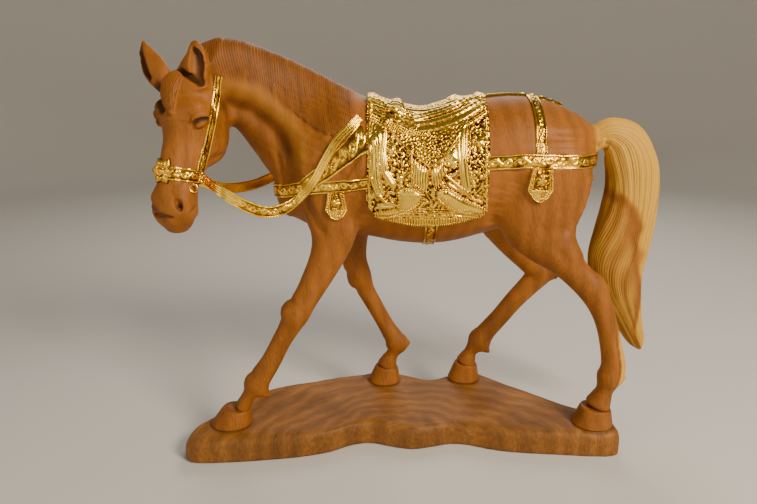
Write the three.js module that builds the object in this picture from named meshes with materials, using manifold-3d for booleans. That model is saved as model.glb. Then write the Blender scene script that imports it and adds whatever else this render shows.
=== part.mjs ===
// A carved wooden horse walking on a shaped wooden slab, dressed in gilt brass harness: saddle with
// its cloth, bridle, two reins, breast harness and breeching. Millimetres, +Z up. The horse faces -X
// and its left side faces -Y. The origin lies on the underside of the slab, below the horse's spine.
import * as THREE from "three";
import { mergeVertices } from "three/addons/utils/BufferGeometryUtils.js";
import Module from "manifold-3d";

const wasm = await Module();
wasm.setup();

// Driving sizes.
const withersHeight = 389;      // from the near hooves' soles to the withers
const baseThickness = 33;       // the slab, at its near edge
const baseLength = 532;
const baseRise = 5;             // how much higher the slab is under the far hooves
const baseRim = 8;              // radius of the slab's rounded rim
const seatingGap = 0.3;         // between the wood and whatever sits on it
const clothThickness = 2.6;     // the saddle cloth
const drapeThickness = 3;       // each layer of drapery on the cloth
const rollHeight = 5;           // pommel and cantle rolls, above the cloth
const strapThickness = 2.8;     // breast harness and breeching
const pendantThickness = 4.2;
const bandWidth = 15;           // breeching band and the two arms of the breast harness
const hipStrapWidth = 12;
const girthWidth = 14;
const reinWidth = 13;
const reinThickness = 2.8;
const cheekStrapWidth = 8;
const nosebandWidth = 12;
const rosetteRadius = 13;
const rosetteDepth = 5;

// The figure's tables are drawn for a horse 389 mm high at the withers, and z counts from its soles.
const unit = withersHeight / 389;
const place = (x, y, z) => new THREE.Vector3(unit * x, unit * y, baseThickness + unit * z);
const leftward = new THREE.Vector3(0, -1, 0);

function toGeometry(points, triangles) {
  const geometry = new THREE.BufferGeometry();
  geometry.setAttribute("position", new THREE.Float32BufferAttribute(points.flatMap((p) => [p.x, p.y, p.z]), 3));
  geometry.setIndex(triangles);
  return geometry;
}

function volumeInside(positions, triangles) {
  const corner = (i) => new THREE.Vector3().fromArray(positions, 3 * triangles[i]);
  let sum = 0;
  for (let i = 0; i < triangles.length; i += 3) sum += corner(i).dot(corner(i + 1).cross(corner(i + 2)));
  return sum / 6;
}

// A closed surface as a solid, its faces turned outwards.
function toSolid(geometry) {
  const bare = geometry.clone();
  bare.deleteAttribute("normal");
  bare.deleteAttribute("uv");
  const merged = mergeVertices(bare, 1e-4);
  const positions = new Float32Array(merged.attributes.position.array);
  const triangles = new Uint32Array(merged.index.array);
  if (volumeInside(positions, triangles) < 0) triangles.reverse();
  return new wasm.Manifold(new wasm.Mesh({ numProp: 3, vertProperties: positions, triVerts: triangles }));
}

const joined = (solids) => solids.reduce((whole, piece) => whole.add(piece));

// A closed skin over rings that all have the same number of points, capped at both ends.
function skinOver(rings) {
  const sides = rings[0].length;
  const points = rings.flat();
  const triangles = [];
  for (let i = 0; i < rings.length - 1; i++) {
    for (let j = 0; j < sides; j++) {
      const a = i * sides + j;
      const b = i * sides + ((j + 1) % sides);
      triangles.push(a, b, b + sides, a, b + sides, a + sides);
    }
  }
  for (const [ring, last] of [[rings[0], false], [rings[rings.length - 1], true]]) {
    const middle = ring.reduce((sum, p) => sum.add(p), new THREE.Vector3()).divideScalar(sides);
    const start = last ? (rings.length - 1) * sides : 0;
    points.push(middle);
    for (let j = 0; j < sides; j++) {
      const a = start + j;
      const b = start + ((j + 1) % sides);
      triangles.push(points.length - 1, ...(last ? [a, b] : [b, a]));
    }
  }
  return toGeometry(points, triangles);
}

// A limb through oval sections. Each row is [x, y, z, half depth, half width] on the figure, side is the
// direction of its width, grow makes it thicker all round, and ridges raises that many flutes of hair.
function limb(rows, { side = leftward, sides = 12, steps = 1, grow = 0, ridges = 0, relief = 0 } = {}) {
  const spine = new THREE.CatmullRomCurve3(rows.map(([x, y, z]) => place(x, y, z)), false, "centripetal");
  const sizes = new THREE.CatmullRomCurve3(rows.map((r) => new THREE.Vector3(r[3], r[4], 0).multiplyScalar(unit)));
  const count = (rows.length - 1) * steps;
  const rings = [];
  for (let i = 0; i <= count; i++) {
    const centre = spine.getPoint(i / count);
    const size = sizes.getPoint(i / count);
    const along = spine.getTangent(i / count);
    const across = side.clone().addScaledVector(along, -side.dot(along)).normalize();
    const up = along.clone().cross(across);
    if (i === 0) centre.addScaledVector(along, -grow);
    if (i === count) centre.addScaledVector(along, grow);
    rings.push(Array.from({ length: sides }, (_, j) => {
      const turn = (2 * Math.PI * j) / sides;
      const swell = 1 + relief * Math.cos(ridges * turn);
      return centre.clone()
        .addScaledVector(across, (size.y + grow) * swell * Math.cos(turn))
        .addScaledVector(up, (size.x + grow) * swell * Math.sin(turn));
    }));
  }
  return toSolid(skinOver(rings));
}

// An upright prism with the given outline of [x, z] points in side view, between two sideways limits.
function sideBlock(outline, yLow = -200, yHigh = 200) {
  const shape = new THREE.Shape(outline.map(([x, z]) => new THREE.Vector2(x, z)));
  const block = new THREE.ExtrudeGeometry(shape, { depth: yHigh - yLow, bevelEnabled: false });
  return toSolid(block.rotateX(Math.PI / 2).translate(0, yHigh, 0));
}

// The same, for an outline drawn on the figure.
const figureBlock = (outline, yLow, yHigh) =>
  sideBlock(outline.map(([x, z]) => [unit * x, baseThickness + unit * z]), yLow, yHigh);

// A strip of constant width along a line of [x, z] points in side view.
function strip(line, width, yLow, yHigh) {
  const path = line.map(([x, z]) => new THREE.Vector2(unit * x, baseThickness + unit * z));
  const edge = (half) => path.map((p, i) => {
    const ahead = path[Math.min(i + 1, path.length - 1)].clone().sub(path[Math.max(i - 1, 0)]).normalize();
    return [p.x - half * ahead.y, p.y + half * ahead.x];
  });
  return sideBlock([...edge(-width / 2), ...edge(width / 2).reverse()], yLow, yHigh);
}

// The body: chest to rump.
const trunkRows = [
  [-136, 0, 285, 30, 22], [-124, 0, 288, 50, 40], [-100, 0, 300, 70, 56], [-68, 0, 309, 80, 64],
  [-30, 0, 306, 79, 68], [8, 0, 299, 79, 70], [40, 0, 299, 80, 71], [75, 0, 308, 80, 69],
  [110, 0, 317, 76, 67], [140, 0, 319, 74, 66], [170, 0, 314, 69, 62], [195, 0, 306, 60, 51],
  [211, 0, 301, 46, 36], [218, 0, 299, 30, 21],
];
const neckRows = [
  [-212, -40, 427, 28, 17], [-198, -31, 417, 38, 20], [-180, -19, 404, 42, 22], [-158, -9, 388, 48, 25],
  [-136, -3, 369, 56, 31], [-113, 0, 349, 65, 39], [-88, 0, 328, 74, 49], [-62, 0, 310, 78, 56],
];

// The legs, from inside the body down to the hoof.
const nearForeRows = [
  [-70, -38, 330, 26, 18], [-84, -43, 300, 34, 23], [-82, -44, 270, 33, 22], [-80, -46, 240, 26, 19],
  [-88, -49, 212, 20, 16], [-103, -51, 182, 16.5, 13.5], [-115, -52, 161, 15, 13], [-127, -53, 143, 17, 14.5],
  [-134, -53, 127, 13, 12], [-145, -54, 108, 11.5, 10], [-158, -55, 83, 12, 10], [-171, -55, 63, 13.5, 11.5],
  [-180, -55, 50, 16, 13], [-190, -55, 36, 11.5, 11.5], [-201, -55, 18, 14, 13],
];
const farForeRows = [
  [-70, 38, 330, 26, 18], [-76, 43, 300, 34, 23], [-68, 44, 268, 32, 22], [-62, 45, 235, 24, 19],
  [-62, 46, 205, 19, 16], [-60, 47, 180, 16.5, 14], [-53, 48, 157, 16, 14], [-45, 48, 138, 12, 11.5],
  [-31, 48, 112, 11, 10], [-17, 48, 86, 11, 10], [-8, 48, 70, 13, 11.5], [-3, 48, 59, 16, 13],
  [-10, 48, 45, 10, 10.5], [-16, 48, 30, 13, 13],
];
const nearHindRows = [
  [166, -24, 345, 34, 20], [168, -33, 308, 47, 30], [159, -38, 275, 49, 28], [154, -41, 250, 40, 25],
  [166, -45, 230, 29, 20], [187, -48, 209, 20, 16.5], [206, -50, 190, 16.5, 14], [225, -52, 170, 16, 13.5],
  [236, -53, 150, 13.5, 12], [244, -54, 130, 12.5, 11], [251, -54, 105, 12.5, 10.5], [257, -55, 78, 14.5, 11.5],
  [257, -55, 61, 17.5, 14], [249, -55, 44, 12, 12], [241, -55, 20, 14, 14],
];
const farHindRows = [
  [164, 24, 345, 34, 20], [158, 33, 308, 47, 30], [142, 38, 270, 47, 28], [134, 41, 244, 38, 25],
  [142, 45, 220, 26, 20], [158, 49, 197, 20, 17], [175, 52, 178, 17, 15], [189, 53, 162, 17, 14],
  [178, 54, 145, 14.5, 12.5], [158, 54, 122, 13, 11.5], [140, 54, 98, 12.5, 11], [122, 54, 76, 13, 11.5],
  [112, 54, 62, 16, 13], [102, 54, 47, 10.5, 10.5], [96, 54, 30, 13, 13],
];
// Points of the hocks, behind the joint.
const hockRows = {
  near: [[214, -50, 188, 7, 7], [226, -52, 182, 9, 9], [236, -53, 174, 6, 6]],
  far: [[180, 52, 170, 9, 9], [197, 53, 163, 10, 9], [213, 53, 157, 6, 6]],
};
// Hooves, near fore, far fore, near hind and far hind: [x, y, radius] of the coronet and of the sole. The
// far ones are lifted by the rise of the slab.
const hooves = [
  { top: [-202, -55, 17], sole: [-211, -55, 25], lift: 0, height: 20 },
  { top: [-16, 48, 15.5], sole: [-20, 48, 22], lift: 1, height: 26 },
  { top: [242, -55, 18], sole: [238, -55, 25], lift: 0, height: 21 },
  { top: [95, 54, 15], sole: [92, 54, 22], lift: 1, height: 28 },
];
const tailRows = [
  [208, 0, 345, 13, 10], [228, 0, 346, 14, 11], [245, 0, 349, 19, 13], [263, 1, 338, 26, 16],
  [275, 2, 314, 30, 19], [280, 3, 285, 32, 20], [279, 4, 256, 34, 21], [275, 5, 225, 36, 21],
  [272, 6, 195, 36, 20], [276, 6, 167, 31, 17], [284, 6, 140, 23, 14], [294, 6, 112, 15, 11],
  [303, 6, 86, 8, 8], [307, 6, 72, 3, 4],
];

// The head has its own frame: t runs down the face from between the ears, out runs forward from the
// face, and left is the horse's left. It is turned towards the horse's left by headTurn.
const headTurn = THREE.MathUtils.degToRad(65);
const headDrop = THREE.MathUtils.degToRad(14);
const facing = new THREE.Vector3(-Math.cos(headTurn), -Math.sin(headTurn), 0);
const headLeft = new THREE.Vector3(Math.sin(headTurn), -Math.cos(headTurn), 0);
const headDown = facing.clone().multiplyScalar(Math.sin(headDrop)).setZ(-Math.cos(headDrop));
const headOut = headLeft.clone().cross(headDown).negate();
const crown = new THREE.Vector3(-236, -48, 406);
function onHead(t, out, left) {
  const p = crown.clone().addScaledVector(headDown, t).addScaledVector(headOut, out).addScaledVector(headLeft, left);
  return [p.x, p.y, p.z];
}
// Each row is [t, out, half depth, half width].
const headTable = [
  [-17, -10, 12, 12], [-10, -11, 22, 21], [2, -13, 30, 29], [16, -16, 35, 33], [32, -19, 39, 35],
  [45, -20, 40, 33], [58, -17, 37, 30], [68, -13, 32, 27], [76, -9, 28, 25.5], [86, -5, 25, 24],
  [98, -2, 22.5, 22.5], [112, -1, 21, 22.5], [126, 0, 22, 24.5], [138, -1, 22, 24], [148, -3, 18, 20],
  [156, -5, 10, 12],
];
const headRows = headTable.map(([t, out, deep, wide]) => [...onHead(t, out, 0), deep, wide]);

// How far the side of the head lies from its middle plane at the given place.
function headSide(t, out) {
  const next = headTable.findIndex((row) => row[0] >= t);
  const [before, after] = [headTable[next - 1], headTable[next]];
  const share = (t - before[0]) / (after[0] - before[0]);
  const [, middle, deep, wide] = before.map((value, i) => value + share * (after[i] - value));
  return wide * Math.sqrt(1 - ((out - middle) / deep) ** 2);
}

// Ears: each shell follows rows of [t, out, left, half depth, half width] from root to tip, its hollow
// facing away from the head. The near ear is pricked and the far one leans outwards.
const earRows = {
  near: [[6, 3, 12, 10, 13], [-8, 6, 16, 9.5, 15.5], [-20, 8, 20, 8.5, 15.5], [-31, 8, 23, 6, 11], [-41, 8, 25, 2.5, 4]],
  far: [[4, 4, -22, 8, 10], [-8, 6, -29, 7.5, 12], [-20, 8, -36, 6.5, 12], [-31, 10, -42, 5, 9], [-41, 12, -48, 2.5, 3.5]],
};
const earWall = 2.4;
function ear(rows, mirror) {
  const turned = headOut.clone().addScaledVector(headLeft, -0.25 * mirror).normalize();
  const shell = (shrink, shift) => limb(
    rows.map(([t, out, left, deep, wide]) => [
      ...onHead(t - shift / 2, out + 0.45 * shift, left + mirror * shift), deep - shrink, wide - shrink,
    ]),
    { side: turned, sides: 9 });
  return shell(0, 0).subtract(shell(earWall, 2.2 * earWall));
}

function ball(at, radii, axes, around = 9) {
  const geometry = new THREE.SphereGeometry(1, around, Math.round(around * 0.66));
  const [x, y, z] = axes.map((axis, i) => axis.clone().multiplyScalar(unit * radii[i]));
  return toSolid(geometry.applyMatrix4(new THREE.Matrix4().makeBasis(x, y, z).setPosition(place(...at))));
}
const headAxes = [headLeft, headOut, headDown.clone().negate()];

function head(grow = 0) {
  return limb(headRows, { side: headLeft, sides: 16, grow });
}

function dressedHead() {
  const pieces = [head(), ear(earRows.near, 1), ear(earRows.far, -1)];
  for (const mirror of [1, -1]) {
    pieces.push(ball(onHead(35, 3, mirror * 20), [15, 13, 12], headAxes));
    pieces.push(ball(onHead(40, 5, mirror * 26.5), [6, 8, 6], headAxes, 7));
    pieces.push(ball(onHead(125, 9, mirror * 15), [11, 10, 12], headAxes));
  }
  const nostrils = [1, -1].map((mirror) => ball(onHead(127, 10, mirror * 25), [4.5, 4, 5], headAxes));
  const mouth = ball(onHead(145, 4, 0), [30, 22, 1.5], headAxes);
  return joined(pieces).subtract(joined(nostrils)).subtract(mouth);
}

function hoof({ top, sole, lift, height }, grow = 0) {
  const soleHeight = baseThickness + lift * baseRise;
  const sections = [[0, sole, 1], [0.2, sole, 1.0], [1, top, 1], [1.15, top, 0.8]];
  const rings = sections.map(([share, oval, swell]) => {
    const radius = unit * oval[2] * swell + grow;
    const x = unit * oval[0];
    const z = soleHeight - (share === 0 ? grow : 0) + share * unit * height;
    return Array.from({ length: 14 }, (_, j) => {
      const turn = (2 * Math.PI * j) / 14;
      return new THREE.Vector3(x + radius * Math.cos(turn), unit * oval[1] + 0.9 * radius * Math.sin(turn), z);
    });
  });
  return toSolid(skinOver(rings));
}

// The crest, and the mane that lies on the near side of the neck as overlapping locks.
const crestRows = [
  [-234, -44, 424, 7, 8], [-222, -40, 440, 9, 9], [-205, -33, 445, 9, 9], [-184, -24, 445, 9, 9], [-160, -12, 438, 9, 9],
  [-129, -4, 423, 9, 9], [-95, -1, 405, 9, 8], [-67, 0, 389, 8, 7], [-47, 0, 380, 5, 5],
];
const maneTop = [[-216, 470], [-120, 450], [-40, 400]];
const maneHem = [
  [-46, 386], [-62, 372], [-80, 355], [-104, 340], [-125, 345], [-145, 360], [-165, 378], [-188, 392], [-212, 400],
];
const maneDepth = 3.5;
const lockCount = 12;
const lockWidth = 8;
function mane(grow) {
  const hem = new THREE.CatmullRomCurve3(maneHem.map(([x, z]) => new THREE.Vector3(x, 0, z)));
  const top = new THREE.CatmullRomCurve3(crestRows.slice(2).reverse().map(([x, , z]) => new THREE.Vector3(x, 0, z)));
  const locks = Array.from({ length: lockCount }, (_, i) => {
    const share = (i + 0.5) / lockCount;
    const root = top.getPoint(Math.min(1, share + 0.04));
    const tip = hem.getPoint(share);
    const bend = root.clone().lerp(tip, 0.5).add(new THREE.Vector3(-3, 0, 3));
    return strip([[root.x, root.z], [bend.x, bend.z], [tip.x, tip.z]], lockWidth + 2 * grow, -200, 2 + grow);
  });
  const sheet = figureBlock([...maneTop, ...maneHem], -200, 2 + grow);
  return joined([
    limb(crestRows, { sides: 8, grow }),
    sheet.intersect(coat(grow + maneDepth)),
    joined(locks).intersect(coat(grow + 1.8 * maneDepth)),
  ]);
}

// Body, neck and legs in one, grown by a margin: the harness lies on this.
const coat = (grow) => joined([
  limb(trunkRows, { sides: 20, grow }),
  limb(neckRows, { sides: 14, grow }),
  ...[nearForeRows, farForeRows, nearHindRows, farHindRows].map((rows) => limb(rows, { grow })),
]);

function horseSolid(grow = 0) {
  const pieces = [
    coat(grow),
    ...Object.values(hockRows).map((rows) => limb(rows, { sides: 8, grow })),
    ...hooves.map((h) => hoof(h, grow)),
    limb(tailRows, { sides: 20, grow, ridges: 5, relief: 0.06 }),
    grow ? head(grow) : dressedHead(),
    mane(grow),
  ];
  return joined(pieces);
}

// The slab, as rounded sections along its length: [x, near edge, far edge, share of its thickness].
const slabRows = [
  [-264, -74, -60, 0.4], [-261, -86, -54, 0.62], [-252, -94, -48, 0.86], [-236, -96, -34, 0.97], [-215, -95, -14, 1],
  [-190, -93, 16, 1], [-165, -90, 33, 1], [-125, -84, 48, 1], [-90, -74, 60, 1], [-60, -58, 68, 1], [-35, -54, 76, 1],
  [-10, -62, 76, 1], [15, -67, 70, 0.97], [40, -62, 60, 0.95], [62, -56, 63, 0.96], [85, -58, 77, 1],
  [108, -66, 77, 1], [130, -72, 60, 1], [160, -76, 34, 1], [195, -79, 8, 1], [230, -82, -14, 1], [254, -82, -24, 1],
  [265, -78, -32, 0.9], [268, -68, -42, 0.7],
];
const slabScale = baseLength / 532;
const slabTop = (y) => baseThickness + baseRise * THREE.MathUtils.smoothstep(y, -20 * unit, 28 * unit);
function slab() {
  const rings = slabRows.map(([x, near, far, share]) => {
    const edges = [unit * near, unit * far];
    const rim = Math.min(baseRim, (edges[1] - edges[0]) * 0.3);
    const side = (edge, inward) => [[0.5, 0], [0, 0.6], [0, -1], [0.35, -0.3], [1, 0]].map(([in_, up], i) => {
      const y = edge + inward * in_ * rim;
      return [y, i < 2 ? up * rim : share * slabTop(y) + up * rim];
    });
    const crown = [0.2, 0.4, 0.6, 0.8].map((s) => {
      const y = edges[0] + rim + s * (edges[1] - edges[0] - 2 * rim);
      return [y, share * slabTop(y)];
    });
    return [...side(edges[0], 1), ...crown, ...side(edges[1], -1).reverse()]
      .map(([y, z]) => new THREE.Vector3(slabScale * x, y, z));
  });
  return toSolid(skinOver(rings));
}

// Everything gilt is cut from coats grown over the wood, each inside blocks drawn in side view.
const bare = horseSolid(seatingGap);
const inCoats = (layers) => joined(layers.map(([thickness, blocks]) =>
  joined(blocks).intersect(coat(seatingGap + thickness)))).subtract(bare);

const clothFront = -41;
const clothRear = 93;
const clothOutline = [
  [clothFront, 430], [clothFront, 285], [-37, 266], [-31, 260], [-10, 255], [30, 251], [60, 254], [84, 260],
  [clothRear, 265], [clothRear, 430],
];
const clothDrapes = [
  // Front hanging with vertical folds.
  [[-38, 400], [-38, 283], [-30, 273], [-12, 273], [-4, 300], [-6, 345], [-16, 372], [-30, 400]],
  // Rear hanging.
  [[90, 400], [90, 285], [80, 277], [60, 277], [50, 290], [52, 320], [62, 350], [78, 400]],
  // The two fringed points in the middle.
  [[4, 346], [6, 300], [14, 288], [24, 297], [34, 288], [44, 298], [46, 330], [24, 322]],
  // Fringed border along the bottom.
  [[-33, 268], [-16, 262], [28, 258], [70, 261], [87, 268], [60, 275], [28, 270], [-8, 274]],
];
const swagLine = [[-38, 384], [-20, 366], [5, 352], [32, 350], [58, 360], [88, 384]];
const foldLines = [
  [[-33, 352], [-33, 290]], [[-25, 356], [-24, 282]], [[-16, 352], [-15, 285]], [[-9, 340], [-9, 298]],
  [[84, 362], [84, 296]], [[75, 352], [75, 288]], [[66, 340], [65, 290]],
];
const foldWidth = 3;
const seatLine = [[-39, 392], [-20, 384], [10, 377], [40, 378], [70, 390]];
function saddle() {
  const half = girthWidth / (2 * unit);
  const girth = [[32 - half, 200], [32 + half, 200], [32 + half, 262], [32 - half, 262]];
  const rolls = [[clothFront + 1, clothFront + 13], [52, 66]].map(([front, rear]) =>
    figureBlock([[front, 372], [rear, 372], [rear, 440], [front, 440]]));
  return inCoats([
    [clothThickness, [figureBlock(clothOutline), figureBlock(girth)]],
    [clothThickness + drapeThickness, clothDrapes.map((outline) => figureBlock(outline))],
    [clothThickness + 1.5 * drapeThickness, [strip(seatLine, 12)]],
    [clothThickness + 2 * drapeThickness, [strip(swagLine, 13), ...foldLines.map((line) => strip(line, foldWidth))]],
    [clothThickness + rollHeight, rolls],
  ]);
}

// A shield-shaped pendant below a band: [x, z] of its top middle, half width and length.
const shield = (x, z, half, length) => [
  [x - 0.8 * half, z], [x + 0.8 * half, z], [x + half, z - 0.62 * length], [x + 0.55 * half, z - 0.86 * length],
  [x, z - length], [x - 0.55 * half, z - 0.86 * length], [x - half, z - 0.62 * length],
];

const meetingGap = seatingGap + 0.3;
function breastHarness() {
  const edge = clothFront - meetingGap / unit;
  const upperArm = strip([[-152, 288], [-128, 287], [-106, 294], [-84, 315], [-62, 335], [edge + 12, 365]], bandWidth);
  const lowerArm = strip([[-108, 293], [-84, 296], [-60, 298], [edge + 6, 301]], bandWidth * 0.95);
  const ahead = figureBlock([[-180, 200], [edge, 200], [edge, 420], [-180, 420]]);
  const pendants = figureBlock(shield(-75, 300, 11.5, 38));
  const front = figureBlock([[-170, 292], [-118, 292], [-118, 262], [-170, 262]], -9 * unit, 9 * unit);
  return inCoats([
    [strapThickness, [upperArm.add(lowerArm).intersect(ahead)]],
    [pendantThickness, [pendants, front]],
  ]);
}

function breeching() {
  const edge = clothRear + meetingGap / unit;
  const behind = figureBlock([[edge, 200], [300, 200], [300, 430], [edge, 430]]);
  const band = strip([[edge - 8, 323], [136, 325], [180, 325], [240, 321]], bandWidth);
  const hipStrap = strip([[149, 318], [148, 360], [147, 420]], hipStrapWidth);
  const spineStrap = figureBlock([[edge, 370], [183, 370], [183, 420], [edge, 420]], -hipStrapWidth / 2, hipStrapWidth / 2);
  return inCoats([
    [strapThickness, [band.intersect(behind), hipStrap, spineStrap]],
    [pendantThickness, [figureBlock(shield(150, 325, 14, 46))]],
  ]);
}

// A flat strap along points, its width lying along the given direction.
function ribbon(points, width, thickness, across) {
  const curve = new THREE.CatmullRomCurve3(points.map((p) => place(...p)), false, "centripetal");
  const count = (points.length - 1) * 2;
  const rings = [];
  for (let i = 0; i <= count; i++) {
    const centre = curve.getPoint(i / count);
    const along = curve.getTangent(i / count);
    const wide = across.clone().addScaledVector(along, -across.dot(along)).normalize().multiplyScalar(width / 2);
    const thick = along.clone().cross(wide).normalize().multiplyScalar(thickness / 2);
    rings.push([[1, 0.6], [0.6, 1], [-0.6, 1], [-1, 0.6], [-1, -0.6], [-0.6, -1], [0.6, -1], [1, -0.6]]
      .map(([w, t]) => centre.clone().addScaledVector(wide, w).addScaledVector(thick, t)));
  }
  return toSolid(skinOver(rings));
}

// The bridle: noseband, cheek straps that run up under the mane, side bosses and a nose rosette.
const nosebandAt = 98;
const cheekStrapLine = [[nosebandAt, -12], [84, -10], [68, -10], [50, -11], [30, -14], [12, -19], [-4, -23], [-12, -24]];
function headSlice(from, to) {
  const box = new THREE.BoxGeometry(200 * unit, 200 * unit, (to - from) * unit);
  const centre = place(...onHead((from + to) / 2, 0, 0));
  const turned = new THREE.Matrix4().makeBasis(headLeft, headOut, headDown.clone().negate()).setPosition(centre);
  return toSolid(box.applyMatrix4(turned));
}
function bridle() {
  const half = nosebandWidth / (2 * unit);
  const band = headSlice(nosebandAt - half, nosebandAt + half).intersect(head(seatingGap + strapThickness));
  const straps = [1, -1].map((mirror) => ribbon(
    cheekStrapLine.map(([t, out]) => onHead(t, out, mirror * headSide(t, out))),
    cheekStrapWidth, 2 * strapThickness, headOut));
  const bosses = [1, -1].map((mirror) => ball(onHead(nosebandAt, -12, mirror * 21), [6, 8, 8], headAxes));
  const petals = Array.from({ length: 6 }, (_, i) => {
    const turn = (Math.PI * i) / 3;
    const reach = rosetteRadius * 0.55;
    return ball(onHead(nosebandAt - 3 + reach * Math.cos(turn), 21, reach * Math.sin(turn)),
      [rosetteRadius * 0.45, rosetteDepth, rosetteRadius * 0.45], headAxes, 6);
  });
  const heart = ball(onHead(nosebandAt - 3, 23, 0), [rosetteRadius * 0.4, rosetteDepth, rosetteRadius * 0.4], headAxes, 6);
  return joined([band, ...straps, ...bosses, ...petals, heart]).subtract(bare);
}

// Reins: free from the boss beside the mouth to the chest, then up the shoulder over the breast harness.
const freeReins = {
  left_rein: [onHead(nosebandAt + 2, -14, 31), [-198, -84, 297], [-176, -84, 282], [-152, -80, 272], [-132, -72, 274],
    [-114, -64, 286], [-102, -58, 298]],
  right_rein: [onHead(nosebandAt + 2, -14, -31), [-246, -18, 298], [-216, 8, 284], [-188, 34, 283], [-160, 54, 292],
    [-130, 63, 299], [-102, 58, 300]],
};
function rein(name) {
  const side = name === "left_rein" ? [-200, -6] : [6, 200];
  const inner = seatingGap + strapThickness + meetingGap;
  const free = ribbon(freeReins[name], reinWidth, reinThickness, new THREE.Vector3(0, 0, 1));
  const laid = strip([[-112, 286], [-98, 303], [-86, 325], [-72, 347], [-50, 366]], reinWidth, ...side)
    .intersect(coat(inner + reinThickness));
  return free.add(laid).subtract(coat(inner)).subtract(bare);
}

// Straightens a piece for the group: its mesh, its name and its colour.
function toMesh(name, solid, material) {
  const { numProp, vertProperties, triVerts, numVert } = solid.getMesh();
  const positions = new Float32Array(3 * numVert);
  for (let i = 0; i < numVert; i++) positions.set(vertProperties.subarray(i * numProp, i * numProp + 3), 3 * i);
  const geometry = new THREE.BufferGeometry();
  geometry.setAttribute("position", new THREE.BufferAttribute(positions, 3));
  geometry.setIndex(new THREE.BufferAttribute(triVerts, 1));
  geometry.computeVertexNormals();
  const mesh = new THREE.Mesh(geometry, material);
  mesh.name = name;
  return mesh;
}

const carvedWood = new THREE.MeshStandardMaterial({ color: 0xa8682f, roughness: 0.5, metalness: 0 });
const slabWood = new THREE.MeshStandardMaterial({ color: 0x9a6330, roughness: 0.55, metalness: 0 });
const giltBrass = new THREE.MeshStandardMaterial({ color: 0xe3b23c, roughness: 0.3, metalness: 1 });

const base = slab().subtract(joined(hooves.map((h) => hoof(h, seatingGap))));
const group = new THREE.Group();
group.add(
  toMesh("base", base, slabWood),
  toMesh("horse", horseSolid(), carvedWood),
  toMesh("saddle", saddle(), giltBrass),
  toMesh("bridle", bridle(), giltBrass),
  toMesh("breast_harness", breastHarness(), giltBrass),
  toMesh("breeching", breeching(), giltBrass),
);
for (const name of Object.keys(freeReins)) group.add(toMesh(name, rein(name), giltBrass));
export default group;
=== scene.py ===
"""Carved wooden horse in gilt harness on its slab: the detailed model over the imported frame.

The horse's wood is one implicit form that is meshed and then worked over with strokes, as a carver would.
The harness is laid on that wood as sheets of relief. Lengths in the tables are millimetres.
"""
import math

import bpy
import numpy as np
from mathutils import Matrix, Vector
from mathutils.bvhtree import BVHTree


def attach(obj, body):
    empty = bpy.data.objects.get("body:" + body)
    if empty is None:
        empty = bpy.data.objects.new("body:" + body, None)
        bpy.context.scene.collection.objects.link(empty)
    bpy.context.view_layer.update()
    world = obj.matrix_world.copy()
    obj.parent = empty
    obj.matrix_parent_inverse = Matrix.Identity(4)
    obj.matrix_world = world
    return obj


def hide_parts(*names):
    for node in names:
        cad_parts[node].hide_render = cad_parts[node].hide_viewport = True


bl_info = {
    "name": "Carved Horse",
    "version": (1, 0, 0),
    "blender": (4, 5, 0),
    "location": "View3D > Sidebar > Carved Horse",
    "description": "Builds a carved wooden horse in gilt harness on a wooden slab",
    "category": "Add Mesh",
}

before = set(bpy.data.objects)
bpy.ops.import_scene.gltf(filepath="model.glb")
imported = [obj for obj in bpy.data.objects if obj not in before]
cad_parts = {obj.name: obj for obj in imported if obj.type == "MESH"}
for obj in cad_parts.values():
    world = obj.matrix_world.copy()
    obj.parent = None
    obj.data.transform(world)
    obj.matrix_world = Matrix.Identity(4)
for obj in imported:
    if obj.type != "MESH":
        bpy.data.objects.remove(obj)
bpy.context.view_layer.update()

SOLE = 33.0
DOWN = np.array([0, 0, -1.0])
# The reference view: its eye in millimetres over the floor, its tilt, then its middle, reach and width
# in pixels.
VIEW_EYE = (-28, -720, 438)
VIEW_PITCH = math.atan(167 / 600)
VIEW_CENTRE = (378.5, 252)
VIEW_FOCAL = 600
VIEW_WIDTH = 757
LEFT = np.array([0.0, -1.0, 0.0])

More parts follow.
